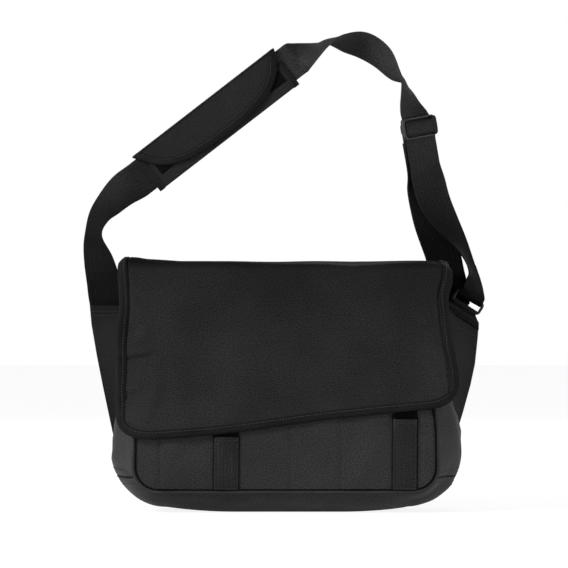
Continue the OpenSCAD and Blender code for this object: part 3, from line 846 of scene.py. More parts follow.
def sleeve(name, left, width, top, gape, seed, replaced):
    """Ribbed webbing sleeve on the pocket, gaping at its hemmed top."""
    columns, rows = 97, 60
    across, heights = np.linspace(0, width, columns), np.linspace(SLEEVE_BOTTOM, top, rows)
    x, z = grid(across, heights)
    bow = np.sin(np.pi * np.clip(x / width, 0, 1))
    hem = smooth((z - (top - 5.2)) / 0.9)
    rib = ((0.42 * np.abs(np.sin(np.pi * (x - 5) / ((width - 10) / 5.0))) ** 0.7
            + 0.22 * waves(x, z * 0.03, 2.5, 6, count=5, seed=seed))
           * ((x > 5) & (x < width - 5)))
    opening = gape * bow ** 0.7 * smooth((z - (top - 30)) / 30) ** 1.6
    middle = 0.6 * bow ** 0.35 * np.where((x > 2.2) & (x < width - 2.2), 1, 0.2)
    base = pocket_front(left + x, z)
    y = base - 1.5 - rib * (1 - hem) - opening - 0.7 * hem - middle
    leaning = left + x + SLEEVE_LEAN * (z - SLEEVE_BOTTOM)
    outer, inner = xyz(leaning, y, z), xyz(leaning, np.minimum(y + 1.3, base + 0.1), z)
    make(name, sheet(outer, inner, x, z), "bag", MAT.sleeve, "webbing", replaced)
    for place in (1.6, width - 1.6):
        column = int(round(place / width * (columns - 1)))
        stitch("pocket_stitches", "bag", MAT.thread, outer[column], FORWARD,
               pitch=3.4, length=2.3, radius=0.35)
    for place in (top - 4.6, SLEEVE_BOTTOM + 2.2):
        row = int(np.argmin(np.abs(heights - place)))
        stitch("pocket_stitches", "bag", MAT.thread, outer[2:-2, row], FORWARD,
               pitch=3.0, length=2.1, radius=0.35)


def sleeve_painted_shadows():
    """Painted shadows: near-black sheets in the gaping mouths behind the sleeve tops, and
    near-black cords along the sides of the sleeves.
    """
    parts = []
    for left, right, bottom, top in ((-96.4, -64.2, 96, 104.0), (138.6, 168.8, 118, 131.8)):
        x, z = grid(np.linspace(left, right, 20), np.linspace(bottom, top, 12))
        z = z + 0.09 * (x - left) * (z - bottom) / (top - bottom)
        base = pocket_front(x, z)
        parts.append(sheet(xyz(x, base - 0.9, z), xyz(x, base - 0.1, z), x, z))
    for x, top in ((-97.6, 103), (-64.4, 103), (135.7, 130), (168.2, 127)):
        z = np.linspace(32, top, 50)
        path = xyz(x + SLEEVE_LEAN * (z - SLEEVE_BOTTOM), pocket_front(x, z) - 0.7, z)
        parts.append(sweep(path, RIGHT, FORWARD, ellipse(0.8, 0.8, 8)))
    make("sleeve_painted_shadows", merge(parts), "bag", MAT.shadow, "binding")


CLOSURE_LEFTS, CLOSURE_WIDTH = (-150, 78), 38       # hook and loop tapes, in x


def loop_tapes():
    parts = []
    for left in CLOSURE_LEFTS:
        x, z = grid(np.linspace(left, left + CLOSURE_WIDTH, 20), np.linspace(152, 194, 24))
        thickness = 1.5 * (0.55 + 0.45 * crown(np.linspace(0, 1, 20), np.linspace(0, 1, 24), 8))
        base = pocket_front(x, z)
        parts.append(sheet(xyz(x, base - thickness, z), xyz(x, base + 0.1, z), x, z))
    make("loop_closure_tapes", merge(parts), "bag", MAT.loops, "closure_tape", "loop_tapes")


def mouth_binding():
    """Tape over the top edge of the front panel."""
    left, right = -199, 192
    x = np.linspace(left, right, 120)
    z = (BODY_TOP - 1.5 - 1.2 * np.sin(np.pi * (x - left) / (right - left))
         + 0.5 * waves(x, 0.0, 60, 160, count=4, seed=31))
    path = xyz(x, FRONT_Y - 1.6, z)
    section = [(1.6, 0), (1.2, 1.7), (0, 2.2), (-5, 2.2), (-8.4, 2.0), (-8.6, 1.4),
               (-8.6, -1.4), (-8.4, -2.0), (-5, -2.2), (0, -2.2), (1.2, -1.7)]
    make("mouth_binding_tape", sweep(path, UP, FORWARD, section), "bag", MAT.binding,
         "binding", "mouth_binding")
    stitch("mouth_stitches", "bag", MAT.thread, path + vec(0, -2.2, -6.5), FORWARD)


def lining():
    """A soft bag inside the body."""
    inset = 7.4
    depths = np.linspace(FRONT_Y + 3.0, BACK_Y - 5.5, 26)
    wall = np.array([body_outline(y, inset) for y in depths])
    out = sheet_normals(wall)
    depth, length = grid(depths, run_length(wall[-1]))
    slack = (1.3 * waves(depth, length, 40, 110, count=7, seed=41)
             * np.sin(np.pi * np.linspace(0, 1, len(depths)))[:, None])
    wall = wall - out * (1.4 + slack)[..., None]
    parts = [sheet(wall, wall - out * 0.8, depth, length)]
    for y, inward, seed in ((FRONT_Y + 1.6, 1, 43), (BACK_Y - 4.6, -1, 44)):
        x, z, across, up = panel_grid(y, inset, BODY_TOP - 1, 60, 44)
        wrinkle = 0.5 + 0.5 * waves(x, z, 60, 160, count=6, seed=seed)
        face = y + inward * (1.0 + 1.4 * crown(across, up, 3) * wrinkle)
        parts.append(sheet(xyz(x, face, z), xyz(x, face - inward * 0.8, z), x, z))
    make("inner_lining", merge(parts), "bag", MAT.lining, "lining", "lining")


def base_board():
    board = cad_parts["base_board"].data.materials
    board.clear()
    board.append(MAT.board)


# ------------------------------------------------------------------ flap
# The flap is drawn unrolled: x, and q along the cloth, from the hanging edge up the front,
# over the top and down behind.
FLAP_LEFT = (       # q, then x
    [60, 100, 106, 117, 130, 168, 195, 238, 276, 322, 332, 345, 460],
    [-223.3, -223.3, -223.3, -223.3, -223.0, -223.6, -223.0, -222.3, -218.3, -221.4, -220.5,
     -218.5, -218])
FLAP_RIGHT = (      # q, then x
    [60, 146, 157, 170, 184, 206, 228, 249, 276, 287, 304, 317, 330, 345, 460],
    [222.6, 222.6, 222.6, 222.6, 222.1, 218.4, 214.3, 211.0, 207.4, 207.4, 210.6, 214.3, 212.5,
     210.5, 210])
FLAP_BOTTOM = (     # x, then q of the hanging edge
    [-223.3, -222.4, -219.5, -214.2, -207, -196.5, -177, -150, -96.5, -42, 15.6, 50, 84.4, 138,
     165.5, 187, 198, 206.5, 213, 218, 221, 222.6],
    [129, 122.5, 115.6, 109.6, 104.8, 101.4, 100.0, 101.6, 106.0, 112.7, 121.2, 125.9, 129.3,
     135.2, 137.8, 139.5, 141.9, 145.6, 150.2, 156.1, 162.4, 169.5])
TOP_SAG = (         # x, then height added along the top
    [-224, -219, -213, -206, -196, -184, -140, 16, 84, 97, 150, 178, 195, 203, 209, 214],
    [-8, -3, 2.7, 4.6, 3.8, 1.5, -1.6, -4.6, -6.0, -4.9, -3.2, -2.6, -2.9, -5.0, -9.0, -13.5])
FLAP_FOLDS = [      # columns as in add_folds, with q for z
    (-216, 207.0, -186, 212.5, 4.2, 5.4, 4.6), (-204, 222, -186, 238, 3.4, 11, 0),
    (-207, 196, -190, 176, -2.6, 9, 0), (-214, 160, -192, 168, 2.4, 7, 1.8),
    (-216, 262, -198, 254, 2.2, 8, 1.6), (-214, 128, -186, 120, 1.8, 8, 1.2),
    (-180, 292, -120, 278, 1.8, 13, 0.8), (176, 322, 203, 249, 3.6, 9, 2.9),
    (181, 249, 212, 222, 3.4, 8, 2.6), (206, 300, 196, 270, 1.2, 6, 0.9),
    (150, 200, 196, 214, 1.0, 14, 0.5), (-150, 300, -60, 282, -0.9, 16, 0),
    (-120, 140, -30, 150, 0.8, 14, 0), (203, 187, 221, 181, 1.5, 3.2, 1.4),
    (-90, 190, 60, 225, -1.2, 26, 0), (-205, 296, -188, 240, 1.0, 9, 0.7),
    (-60, 300, 90, 306, 0.9, 14, 0)]
FLAP_Y, FLAP_Z = -68.6, 329.2           # middle of the cloth on the front and on the top
FRONT_TURN, FRONT_RADIUS = 320.0, 11.0  # q where the front edge starts to turn
TOP_START = FRONT_TURN + FRONT_RADIUS * math.pi / 2
TOP_Y, REAR_Y = FLAP_Y + FRONT_RADIUS, 46.5     # ends of the flat top
REAR_TURN, REAR_RADIUS = TOP_START + REAR_Y - TOP_Y, 8.5
FLAP_SEAM = TOP_START + 8               # q where the front and top pieces meet
FLAP_END = REAR_TURN + REAR_RADIUS * math.pi / 2 + 13
FLAP_HALF = 1.55                        # half the thickness
FLAP_FRONT_BLEND = ("flap_top", "flap_front", (0, -60, 327), (0, -66.5, 303))
FLAP_TOP_BLEND = ("bag", "flap_top", (0, 56, 319), (0, 44, 330))


def flap_side(q, table):
    """x of a side edge, softened so that it has no corners."""
    return sum(np.interp(q + shift, *table) for shift in (-5, -2.5, 0, 2.5, 5)) / 5


def flap_lift(x, q):
    """How far the cloth stands out of its profile."""
    front = 1 - smooth((q - 312) / 16)
    height = (1.9 * waves(x, q, 120, 300, count=6, seed=51)
              + 0.55 * waves(x, q, 40, 90, count=8, seed=52))
    height = add_folds(height, x, q, FLAP_FOLDS)
    height = height * front * (0.35 + 0.65 * smooth((325 - q) / 60))
    curl = (2.4 * np.exp(-(((x + 214) / 26) ** 2 + ((q - 112) / 26) ** 2))
            + 1.2 * np.exp(-(((x - 212) / 24) ** 2 + ((q - 158) / 24) ** 2)))
    low = 1.4 * smooth((190 - q) / 90)
    top = (1 - front) * (0.9 * waves(x, q, 70, 180, count=6, seed=55))
    return np.maximum(height, -1.3) + curl * front + low * front + top


DRAPE = None        # (x stations, q stations, heights) once the cloth has been hung


def drape(x, q):
    """Extra hang of the simulated cloth."""
    if DRAPE is None:
        return 0.0
    stations_x, stations_q, heights = DRAPE
    place_x, place_q = (
        np.clip(np.interp(value, stations, np.arange(len(stations))), 0, len(stations) - 1.001)
        for value, stations in ((x, stations_x), (q, stations_q)))
    i, j = place_x.astype(int), place_q.astype(int)
    a, b = place_x - i, place_q - j
    return (heights[i, j] * (1 - a) * (1 - b) + heights[i + 1, j] * a * (1 - b)
            + heights[i, j + 1] * (1 - a) * b + heights[i + 1, j + 1] * a * b)


def flap_at(x, q):
    """Points of the middle of the flap cloth."""
    turn = np.clip((q - FRONT_TURN) / FRONT_RADIUS, 0, np.pi / 2)
    drop = np.clip((q - REAR_TURN) / REAR_RADIUS, 0, np.pi / 2)
    zones = [q < FRONT_TURN, q < TOP_START, q < REAR_TURN]
    y = np.select(zones, [FLAP_Y, TOP_Y - FRONT_RADIUS * np.cos(turn), TOP_Y + (q - TOP_START)],
                  REAR_Y + REAR_RADIUS * np.sin(drop))
    z = np.select(zones, [q - (FRONT_TURN + FRONT_RADIUS - FLAP_Z),
                          FLAP_Z - FRONT_RADIUS + FRONT_RADIUS * np.sin(turn), FLAP_Z],
                  FLAP_Z - REAR_RADIUS + REAR_RADIUS * np.cos(drop))
    tail = np.maximum(q - (REAR_TURN + REAR_RADIUS * np.pi / 2), 0)
    out_y = np.where(q < REAR_TURN, -np.cos(turn), np.sin(drop))
    out_z = np.where(q < REAR_TURN, np.sin(turn), np.cos(drop))
    # a groove runs beside the binding
    inset = np.minimum(x - flap_side(q, FLAP_LEFT), flap_side(q, FLAP_RIGHT) - x)
    height = (flap_lift(x, q) + drape(x, q)
              - 1.7 * bell(inset - 12.0, 1.5) * (q > 150) * (inset > 0))
    sag = (np.interp(x, *TOP_SAG) * smooth((q - 262) / 62)
           * (1 - 0.75 * smooth((q - TOP_START - 6) / 60)))
    return xyz(x, y + 0.02 * tail + out_y * height, z - tail + out_z * height + sag)


def flap_out(x, q, step=1.5):
    return unit(np.cross(flap_at(x + step, q) - flap_at(x - step, q),
                         flap_at(x, q + step) - flap_at(x, q - step)))


def simulate_drape():
    """Hang the front flap as cloth from its top edge, over the pocket."""
    frames = 24
    rows, columns = 76, 44
    stations_x, stations_q = np.linspace(-222, 216, rows), np.linspace(104, 330, columns)
    x, q = grid(stations_x, stations_q)
    start = flap_at(x, q)
    item = new_object("drape", start.reshape(-1, 3), grid_faces(rows, columns))
    wall_x, wall_z = grid(np.linspace(-235, 230, 60), np.linspace(20, 318, 40))
    wall_y = np.maximum(pocket_shape(wall_x, wall_z), -66) - 1.4
    wall = new_object("wall", xyz(wall_x, wall_y, wall_z).reshape(-1, 3),
                      grid_faces(60, 40)[:, ::-1])
    wall.modifiers.new("col", "COLLISION")
    wall.collision.thickness_outer = 0.001
    wall.collision.cloth_friction = 5
    pins = np.arange(rows * columns).reshape(rows, columns)[:, -3:].ravel()
    modifier = add_cloth(item, pins, frames, stiffness=30, quality=6, mass=0.35,
                         bending_stiffness=6.0, air_damping=3, tension_damping=10,
                         bending_damping=1)
    modifier.collision_settings.distance_min = 0.001
    modifier.collision_settings.use_self_collision = False
    heights = -(run_cloth(item, frames, wall).reshape(start.shape) - start)[..., 1]
    # a simulation that blows up is left out
    if not np.all(np.isfinite(heights)):
        return None
    heights = 2.2 * np.tanh(smooth_grid(heights, 2) / 2.2) * (1 - smooth((q - 300) / 26))
    return stations_x, stations_q, heights


DRAPE = simulate_drape()


def flap_grid(lower, upper, columns, rows):
    """x and q of the flap; lower may differ for each column."""
    across = eased(columns, 0.45)
    lower = np.broadcast_to(lower, across.shape)
    q = lower[:, None] + (upper - lower)[:, None] * np.linspace(0, 1, rows)[None]
    left, right = flap_side(q, FLAP_LEFT), flap_side(q, FLAP_RIGHT)
    return left + (right - left) * across[:, None], q


def flap_hem(columns):
    x = lerp(FLAP_BOTTOM[0][0], FLAP_BOTTOM[0][-1], eased(columns, 0.45))
    return np.interp(x, *FLAP_BOTTOM)


def flap_sheet(middle, out, outer, inner, x, q):
    return sheet(middle + out * outer, middle + out * inner, x, q)


def flap_cloths():
    lining_width = 0.992
    x, q = flap_grid(flap_hem(150), FLAP_SEAM, 150, 110)
    make("flap_front_cloth", flap_sheet(flap_at(x, q), flap_out(x, q), FLAP_HALF, -0.5, x, q),
         FLAP_FRONT_BLEND, MAT.flap, "cloth", "flap_front_panel")
    x, q = flap_grid(flap_hem(90) + 3.0, FLAP_SEAM, 90, 60)
    x = x * lining_width
    make("flap_front_lining_cloth",
         flap_sheet(flap_at(x, q), flap_out(x, q), -0.7, -FLAP_HALF, x, q),
         FLAP_FRONT_BLEND, MAT.lining, "lining", "flap_front_lining")
    x, q = flap_grid(FLAP_SEAM, FLAP_END, 150, 70)
    out = flap_out(x, q)
    make("flap_top_cloth", flap_sheet(flap_at(x, q), out, FLAP_HALF, -0.5, x, q),
         FLAP_TOP_BLEND, MAT.flap, "cloth", "flap_top_panel")
    middle = flap_at(x * lining_width, q)
    make("flap_top_lining_cloth", flap_sheet(middle, out, -0.7, -FLAP_HALF, x, q),
         FLAP_TOP_BLEND, MAT.lining, "lining", "flap_top_lining")


# section of the binding: distance in from the edge, offset along the outward direction
FLAP_BINDING = [(10.2, 1.0), (10.1, 2.6), (9.6, 3.0), (8.0, 2.75), (7.2, 2.75), (5.0, 3.1),
                (2.0, 2.9), (0.2, 2.4), (-0.9, 1.5), (-1.3, 0.2), (-1.0, -1.0), (0.2, -1.9),
                (2.0, -2.2), (6, -2.2), (9.4, -2.1), (10.0, -1.2)]


def flap_binding_mesh(edge, inward):
    """Binding along an edge; past the edge the section runs straight on."""
    rings = []
    for distance, offset in FLAP_BINDING:
        on_cloth = max(distance, 0.6)
        place = (edge + inward * on_cloth).T
        point = flap_at(*place)
        if distance < on_cloth:
            away = unit(point - flap_at(*(edge + inward * (on_cloth + 2)).T))
            point = point + away * (on_cloth - distance)
        rings.append(point + flap_out(*place) * offset)
    return tube(np.stack(rings, 1), run_length(np.array(FLAP_BINDING)), run_length(edge))


def flap_bindings():
    q = np.linspace(FLAP_SEAM, FLAP_BOTTOM[1][0], 90)
    left = np.stack([flap_side(q, FLAP_LEFT), q], 1)
    x = np.linspace(FLAP_BOTTOM[0][0], FLAP_BOTTOM[0][-1], 700)
    bottom = np.stack([x, np.interp(x, *FLAP_BOTTOM)], 1)
    q = np.linspace(FLAP_BOTTOM[1][-1], FLAP_SEAM, 80)
    right = np.stack([flap_side(q, FLAP_RIGHT), q], 1)
    edge = resample(np.concatenate([left[:-1], bottom, right[1:]]), 1.2)
    edge = resample(relax(edge, 6), 3.2)
    inward = left_of(edge)
    make("flap_edge_binding", flap_binding_mesh(edge, inward), FLAP_FRONT_BLEND, MAT.binding,
         "binding", "flap_binding")
    q = np.linspace(FLAP_SEAM, FLAP_END - 2, 60)
    for side, way, table in (("left", 1, FLAP_LEFT), ("right", -1, FLAP_RIGHT)):
        side_edge, side_inward = np.stack([flap_side(q, table), q], 1), vec(way, 0)
        make("flap_top_binding_" + side, flap_binding_mesh(side_edge, side_inward),
             FLAP_TOP_BLEND, MAT.binding, "binding")
        flap_stitches("flap_top_stitches", FLAP_TOP_BLEND, MAT.dark_thread,
                      side_edge + side_inward * 8.2, 2.5)
    flap_stitches("flap_stitches", FLAP_FRONT_BLEND, MAT.thread,
                  resample(edge + inward * 7.6, 1.5), 2.75, pitch=3.8, length=2.7, radius=0.45)
    # seam that joins the flap to the back
    x = np.linspace(-208, 200, 200)
    flap_stitches("flap_top_stitches", FLAP_TOP_BLEND, MAT.dark_thread,
                  np.stack([x, 0 * x + FLAP_END - 5], 1), FLAP_HALF)


def flap_stitches(name, place, thread, line, offset, **sizes):
    out = flap_out(*line.T)
    stitch(name, place, thread, flap_at(*line.T) + out * offset, out, **sizes)


def hook_tapes():
    parts = []
    for left in CLOSURE_LEFTS:
        x, q = grid(np.linspace(left, left + CLOSURE_WIDTH, 20), np.linspace(154, 196, 24))
        parts.append(flap_sheet(flap_at(x, q), flap_out(x, q), -FLAP_HALF, -FLAP_HALF - 1.0,
                                x, q))
    make("hook_closure_tapes", merge(parts), "flap_front", MAT.hooks, "closure_tape",
         "hook_tapes")


# ------------------------------------------------------------------ wings and ring keeper
WING_Y = 60.7
RING_SLOPE = math.radians(-32)
RING_SIDE = vec(math.cos(RING_SLOPE), 0, math.sin(RING_SLOPE))
RING_UP = vec(-RING_SIDE[2], 0, RING_SIDE[0])
RING_CENTRE = vec(240.7, WING_Y, 275.7)
RING_BAR = RING_CENTRE - 8.0 * RING_UP      # middle of the ring's lower bar
KEEPER_BLEND = ("bag", "strap", RING_BAR - 11.5 * RING_UP, RING_BAR - 4.5 * RING_UP)
KEEPER_HALF = 17.3


def wing(name, inner_edge, outer_edge, replaced, rows, stitches, place, material, forward):
    """Cloth wing between two edges, each a list of x, z from the bottom to the top."""
    count, across_count = 70, 40
    up, across = np.linspace(0, 1, count), np.linspace(0, 1, across_count)
    edges = [resample(edge, 2.0) for edge in (inner_edge, outer_edge)]
    first, last = (sample(edge, np.linspace(0, 1, len(edge)), up) for edge in edges)
    flat = first[:, None] + (last - first)[:, None] * across[None, :, None]
    x, z = flat[..., 0], flat[..., 1]
    up, across = up[:, None], across[None]
    ripple = 0.9 * waves(x, z, 30, 80, count=6, seed=61) * np.sin(np.pi * across) * (1 - up)
    y = WING_Y - 2.0 * (1 - across) ** 3 + ripple - 1.2 * across ** 2 * (1 - up)
    k = np.arange(across_count)
    half = 0.5 + np.sqrt(np.minimum(1, np.minimum(k, across_count - 1 - k) / 2.0))[None]
    # the front face reaches forward to the front seam and thins out towards the top
    reach = (forward * (1 - across) ** 1.35 * (1 - smooth((up - 0.62) / 0.36))
             * smooth(up / 0.12 + 0.35))
    front, back = xyz(x, y - half - reach, z), xyz(x, y + half, z)
    make(name, sheet(front, back, x, z), place, material, "cloth", replaced)
    for share in rows:
        row = int(np.clip(share * (count - 1), 1, count - 2))
        for face, facing in ((front, FORWARD), (back, BACKWARD)):
            stitch(stitches, place, MAT.thread, face[row, 2:-2], facing,
                   pitch=3.4, length=2.4, radius=0.38)


def wings():
    wing("left_wing_panel", [(-214, 80), (-206, 160), (-206, 250), (-214, 271)],
         [(-231, 86), (-237.8, 118), (-246.9, 161), (-255.4, 204), (-262.6, 246), (-264.8, 271)],
         "left_ear", rows=(0.965, 0.93), stitches="wing_stitches_left",
         place=("bag", "strap", (0, 59, 257), (0, 59, 270.5)), material=MAT.left_wing,
         forward=62.0)
    top = RING_BAR - 8.6 * RING_UP
    inner_top, outer_top = top - 30 * RING_SIDE, top + 27.4 * RING_SIDE
    wing("right_wing_panel", [(212, 98), (203, 160), (203, 250), inner_top[::2]],
         [(227, 106), (234, 129), (243.9, 165), (249.9, 193), (253.4, 226), outer_top[::2]],
         "right_ear", rows=(0.93, 0.88), stitches="wing_stitches", place="bag",
         material=MAT.right_wing, forward=72.0)


def keeper_x(x, z):
    """The tape is gathered in the ring and spreads to the width of the wing below."""
    spread = smooth((-z - 2.4) / 3.6)
    right = (26.6 + 0.6 * np.maximum(-z - 7.6, -3)) / KEEPER_HALF
    return np.where(x > 0, x * lerp(1, right, spread), x * lerp(1, 27.0 / KEEPER_HALF, spread))


def ring_keeper():
    """Tape folded round the ring's lower bar and sewn to the right wing."""
    radius, thickness, tail, half_gap = 2.5, 1.3, -16.5, 1.5
    half = half_gap + thickness
    outside, inside = lerp(tail, -radius, 0.6), lerp(tail, -radius, 0.55)
    section = ([(half, tail), (half, outside)] + arc(0, 0, radius + thickness, -60, 240, 22)
               + [(-half, outside), (-half, tail), (-half_gap, tail), (-half_gap, inside)]
               + arc(0, 0, radius, 240, -60, 22) + [(half_gap, inside), (half_gap, tail)])
    path = placed(RING_BAR, (RING_SIDE,), np.linspace(-KEEPER_HALF, KEEPER_HALF, 30))
    vertices, faces, uvs = sweep(path, BACKWARD, RING_UP, section)
    x, z = (vertices - RING_BAR) @ RING_SIDE, (vertices - RING_BAR) @ RING_UP
    vertices = vertices + (keeper_x(x, z) - x)[:, None] * RING_SIDE
    make("ring_keeper_tape", (vertices, faces, uvs[:, ::-1]), KEEPER_BLEND, MAT.keeper,
         "webbing", "ring_keeper")
    for z in (-7.6, -13.8):
        for facing in (FORWARD, BACKWARD):
            seam = placed(RING_BAR + z * RING_UP + facing * 2.85, (RING_SIDE,),
                          keeper_x(np.linspace(-17, 17, 60), z))
            stitch("keeper_stitches", KEEPER_BLEND, MAT.thread, seam, facing,
                   pitch=3.2, length=2.3, radius=0.38)


# ------------------------------------------------------------------ shoulder webbing
def width_way(turn, tilt):
    """Direction across the webbing: turned in the XZ plane and tilted back, in degrees."""
    turn, tilt = np.radians(turn), np.radians(tilt)
    return xyz(np.cos(tilt) * np.cos(turn), np.sin(tilt), np.cos(tilt) * np.sin(turn))


PAD_SLOPE = 37.7
PAD_TURN = PAD_SLOPE + 90
PAD_ALONG = width_way(PAD_SLOPE, 0)
PAD_UP = vec(-PAD_ALONG[2], 0, PAD_ALONG[0])
PAD_CENTRE, PAD_RUN = vec(-96.5, 74, 519.4), 133.0      # the webbing is straight for the run
SLIDER_CENTRE, SLIDER_UP = vec(175.4, 78, 509.8), unit(vec(-8.6, -3.07, 52.9))
SLIDER_TURN, SLIDER_TILT = 11.3, 32
SLIDER_SIDE = width_way(SLIDER_TURN, SLIDER_TILT)
SLIDER_SIDE = unit(SLIDER_SIDE - SLIDER_SIDE.dot(SLIDER_UP) * SLIDER_UP)
SLIDER_OUT = np.cross(SLIDER_UP, SLIDER_SIDE)
FOLD_CENTRE, FOLD_RADIUS, FOLD_TURN = RING_CENTRE + 7.5 * RING_UP, 5.4, -29
STRAP_HALF, STRAP_HALF_THICK = 24.0, 0.85


def station(point, turn, tilt):
    return [*point, turn, tilt]


def pad_station(run):
    return station(PAD_CENTRE + run * PAD_ALONG, PAD_TURN, 0)


def slider_station(run, out=0.0):
    point = SLIDER_CENTRE + run * SLIDER_UP + out * SLIDER_OUT
    return station(point, SLIDER_TURN, SLIDER_TILT)


def fold_station(y, up, tilt=0):
    return station(FOLD_CENTRE + up * RING_UP + y * BACKWARD, FOLD_TURN, tilt)


def strap_stations():
    """The whole run of the webbing as x, y, z, turn and tilt of its width."""
    steps = 14
    left = spline([
        [-239, WING_Y, 255, 180, 0], [-240, WING_Y, 266.5, 180, 0],
        [-243.5, WING_Y + 1.9, 285, 179, 8], [-246, WING_Y + 2.8, 302, 177, 12],
        [-253.5, 62, 337, 175, 33], [-260, 66, 366, 168, 58], [-253.8, 69, 388.6, 156, 52],
        [-239.2, 72, 407, 138, 37], [-221.9, 73.6, 424.5, 130, 20],
        pad_station(-PAD_RUN), pad_station(25 - PAD_RUN)], steps)
    under_pad = [pad_station(run) for run in np.linspace(6 - PAD_RUN, PAD_RUN - 6, 40)]
    top = spline([
        pad_station(PAD_RUN - 25), pad_station(PAD_RUN), [18, 74.5, 604.8, 122, 28],
        [29, 75, 609.2, 115, 49], [41, 76, 614.4, 107, 66], [53.5, 77, 619.6, 99, 82],
        [76, 79, 623, 80, 116], [101, 80, 619.6, 66, 134], [126.4, 80, 603.4, 50, 128],
        [144.2, 79, 578.5, 30, 106], [152.8, 79, 569, 24, 86], [159.4, 78.6, 555, 17, 68],
        [163.6, 78.2, 541, 13.5, 55], [168.6, 78, 529, 11.8, 42], slider_station(8)], steps)
    in_slider = [slider_station(run) for run in np.linspace(5, -48, 20)]
    front = spline([
        slider_station(-20), slider_station(-50), [189, 78, 436, 16, 22],
        [197.6, 76, 408, 21, 27], [213, 77, 380.6, 22, 43], [230.7, 77, 354.5, 25, 63.5],
        [243.3, 75, 331, 3, 73], [248.8, 71, 314, -12, 70], [249.3, 66, 302, -23, 54],
        fold_station(-FOLD_RADIUS - 2, 6, tilt=22), fold_station(-FOLD_RADIUS, 1)], steps)
    fold = [fold_station(-FOLD_RADIUS * math.cos(angle), -FOLD_RADIUS * math.sin(angle))
            for angle in np.radians(np.arange(0, 181, 12))]
    back = spline([
        fold_station(FOLD_RADIUS, 1), [237, 68, 290.5, -28, 22], [222, 73, 302, -22, 10],
        [213, 76, 318, -6, 0], [207, 83, 341, 8, 0], [193, 89.5, 383, 14, 0],
        [183.5, 90, 425, 13, 12], slider_station(-60, 9.4), slider_station(-18, 9.4),
        slider_station(0, 9.4)], steps)
    line = np.concatenate([left, under_pad, top, in_slider, front, fold, back])
    gaps = np.linalg.norm(np.diff(line[:, :3], axis=0), axis=1)
    return line[np.concatenate([[True], gaps > 0.4])]


def shoulder_webbing():
    line = strap_stations()
    path = line[:, :3]
    x, y, z = path.T
    width = width_way(line[:, 3], line[:, 4])
    out = unit(np.cross(unit(np.gradient(path, axis=0)), width))
    # the webbing is gathered where it passes through the ring
    gather = 1 - 0.27 * bell(np.linalg.norm(path - FOLD_CENTRE, axis=1), 24.0)
    across = np.linspace(-STRAP_HALF, STRAP_HALF, 25)
    thin = 1 - 0.55 * np.maximum(0, (np.abs(across) - (STRAP_HALF - 2.5)) / 2.5) ** 2
    edge_rib = 0.12 * (np.abs(np.abs(across) - (STRAP_HALF - 3.2)) < 1.2)
    half = STRAP_HALF_THICK * thin + edge_rib
    section = np.concatenate([np.stack([across, half], 1),
                              np.stack([across, -half], 1)[::-1]])
    vertices, faces, uvs = sweep(path, width * gather[:, None], out, section)
    uvs[:, 0] = np.tile(section[:, 0], len(path))
    # a turned strap curls across its width
    curl = np.where((z > 540) & (x > 20), 7.5 * bell(x - 56, 19) + 5.0 * bell(x - 150, 9)
                    + 2.0 * bell(x - 105, 40), 0)
    lower = (np.arange(len(path)) > len(path) * 0.5) & (x > 225) & (y < 80) & (z > 296)
    curl = relax(curl + np.where(lower, -3.0 * bell(z - 328, 22), 0), 8)
    count = len(section)
    ripple = 0.5 * waves(uvs[:, 1], uvs[:, 0] * 0.6, 40, 110, count=6, seed=91)
    lift = (np.repeat(curl, count) * (1 - (uvs[:, 0] / STRAP_HALF) ** 2)
            + ripple * np.repeat(np.where(np.abs(z - 300) < 25, 0, 1), count))
    vertices = vertices + lift[:, None] * np.repeat(out, count, axis=0)
    make("shoulder_webbing", (vertices, faces, uvs), "strap", MAT.strap, "webbing",
         "strap_webbing")


def webbing_tail():
    """Short second layer of webbing behind the ring."""
    share = np.linspace(0, 1, 30)
    up = np.linspace(0, 1, 16)[None]
    bottom_x, top_x = lerp(211, 243.2, share), lerp(206, 241, share)
    bottom_z = np.interp(bottom_x, [211, 225, 233, 240.5, 243.2], [272, 272, 271.5, 269.8, 274.0])
    x = bottom_x[:, None] + (top_x - bottom_x)[:, None] * up
    z = bottom_z[:, None] + (lerp(309, 300, share) - bottom_z)[:, None] * up
    y = (WING_Y + 4.7 + (FOLD_RADIUS - 2.3) * smooth((z - 272) / 12)
         + 6.0 * smooth((z - 280) / 26))
    make("webbing_tail_layer", sheet(xyz(x, y, z), xyz(x, y + 1.4, z), x, z), "strap",
         MAT.strap, "webbing")


# ------------------------------------------------------------------ ring and slider
def ring():
    loop = rounded_loop(-15.4, 15.4, 3.8, radius=4.2, steps=7, spacing=1.4)
    path = placed(RING_CENTRE, (RING_SIDE, RING_UP), *loop.T)
    make("webbing_ring", loop_sweep(path, BACKWARD, ellipse(1.85, 1.85, 16)), "ring", MAT.ring,
         "plastic", "ring")


def slider_at(x, out, z):
    return placed(SLIDER_CENTRE, (SLIDER_SIDE, SLIDER_OUT, SLIDER_UP), x, out, z)


SLIDER_BAR_OUT = 4.4        # how far the middle bar stands out from the slider's plane


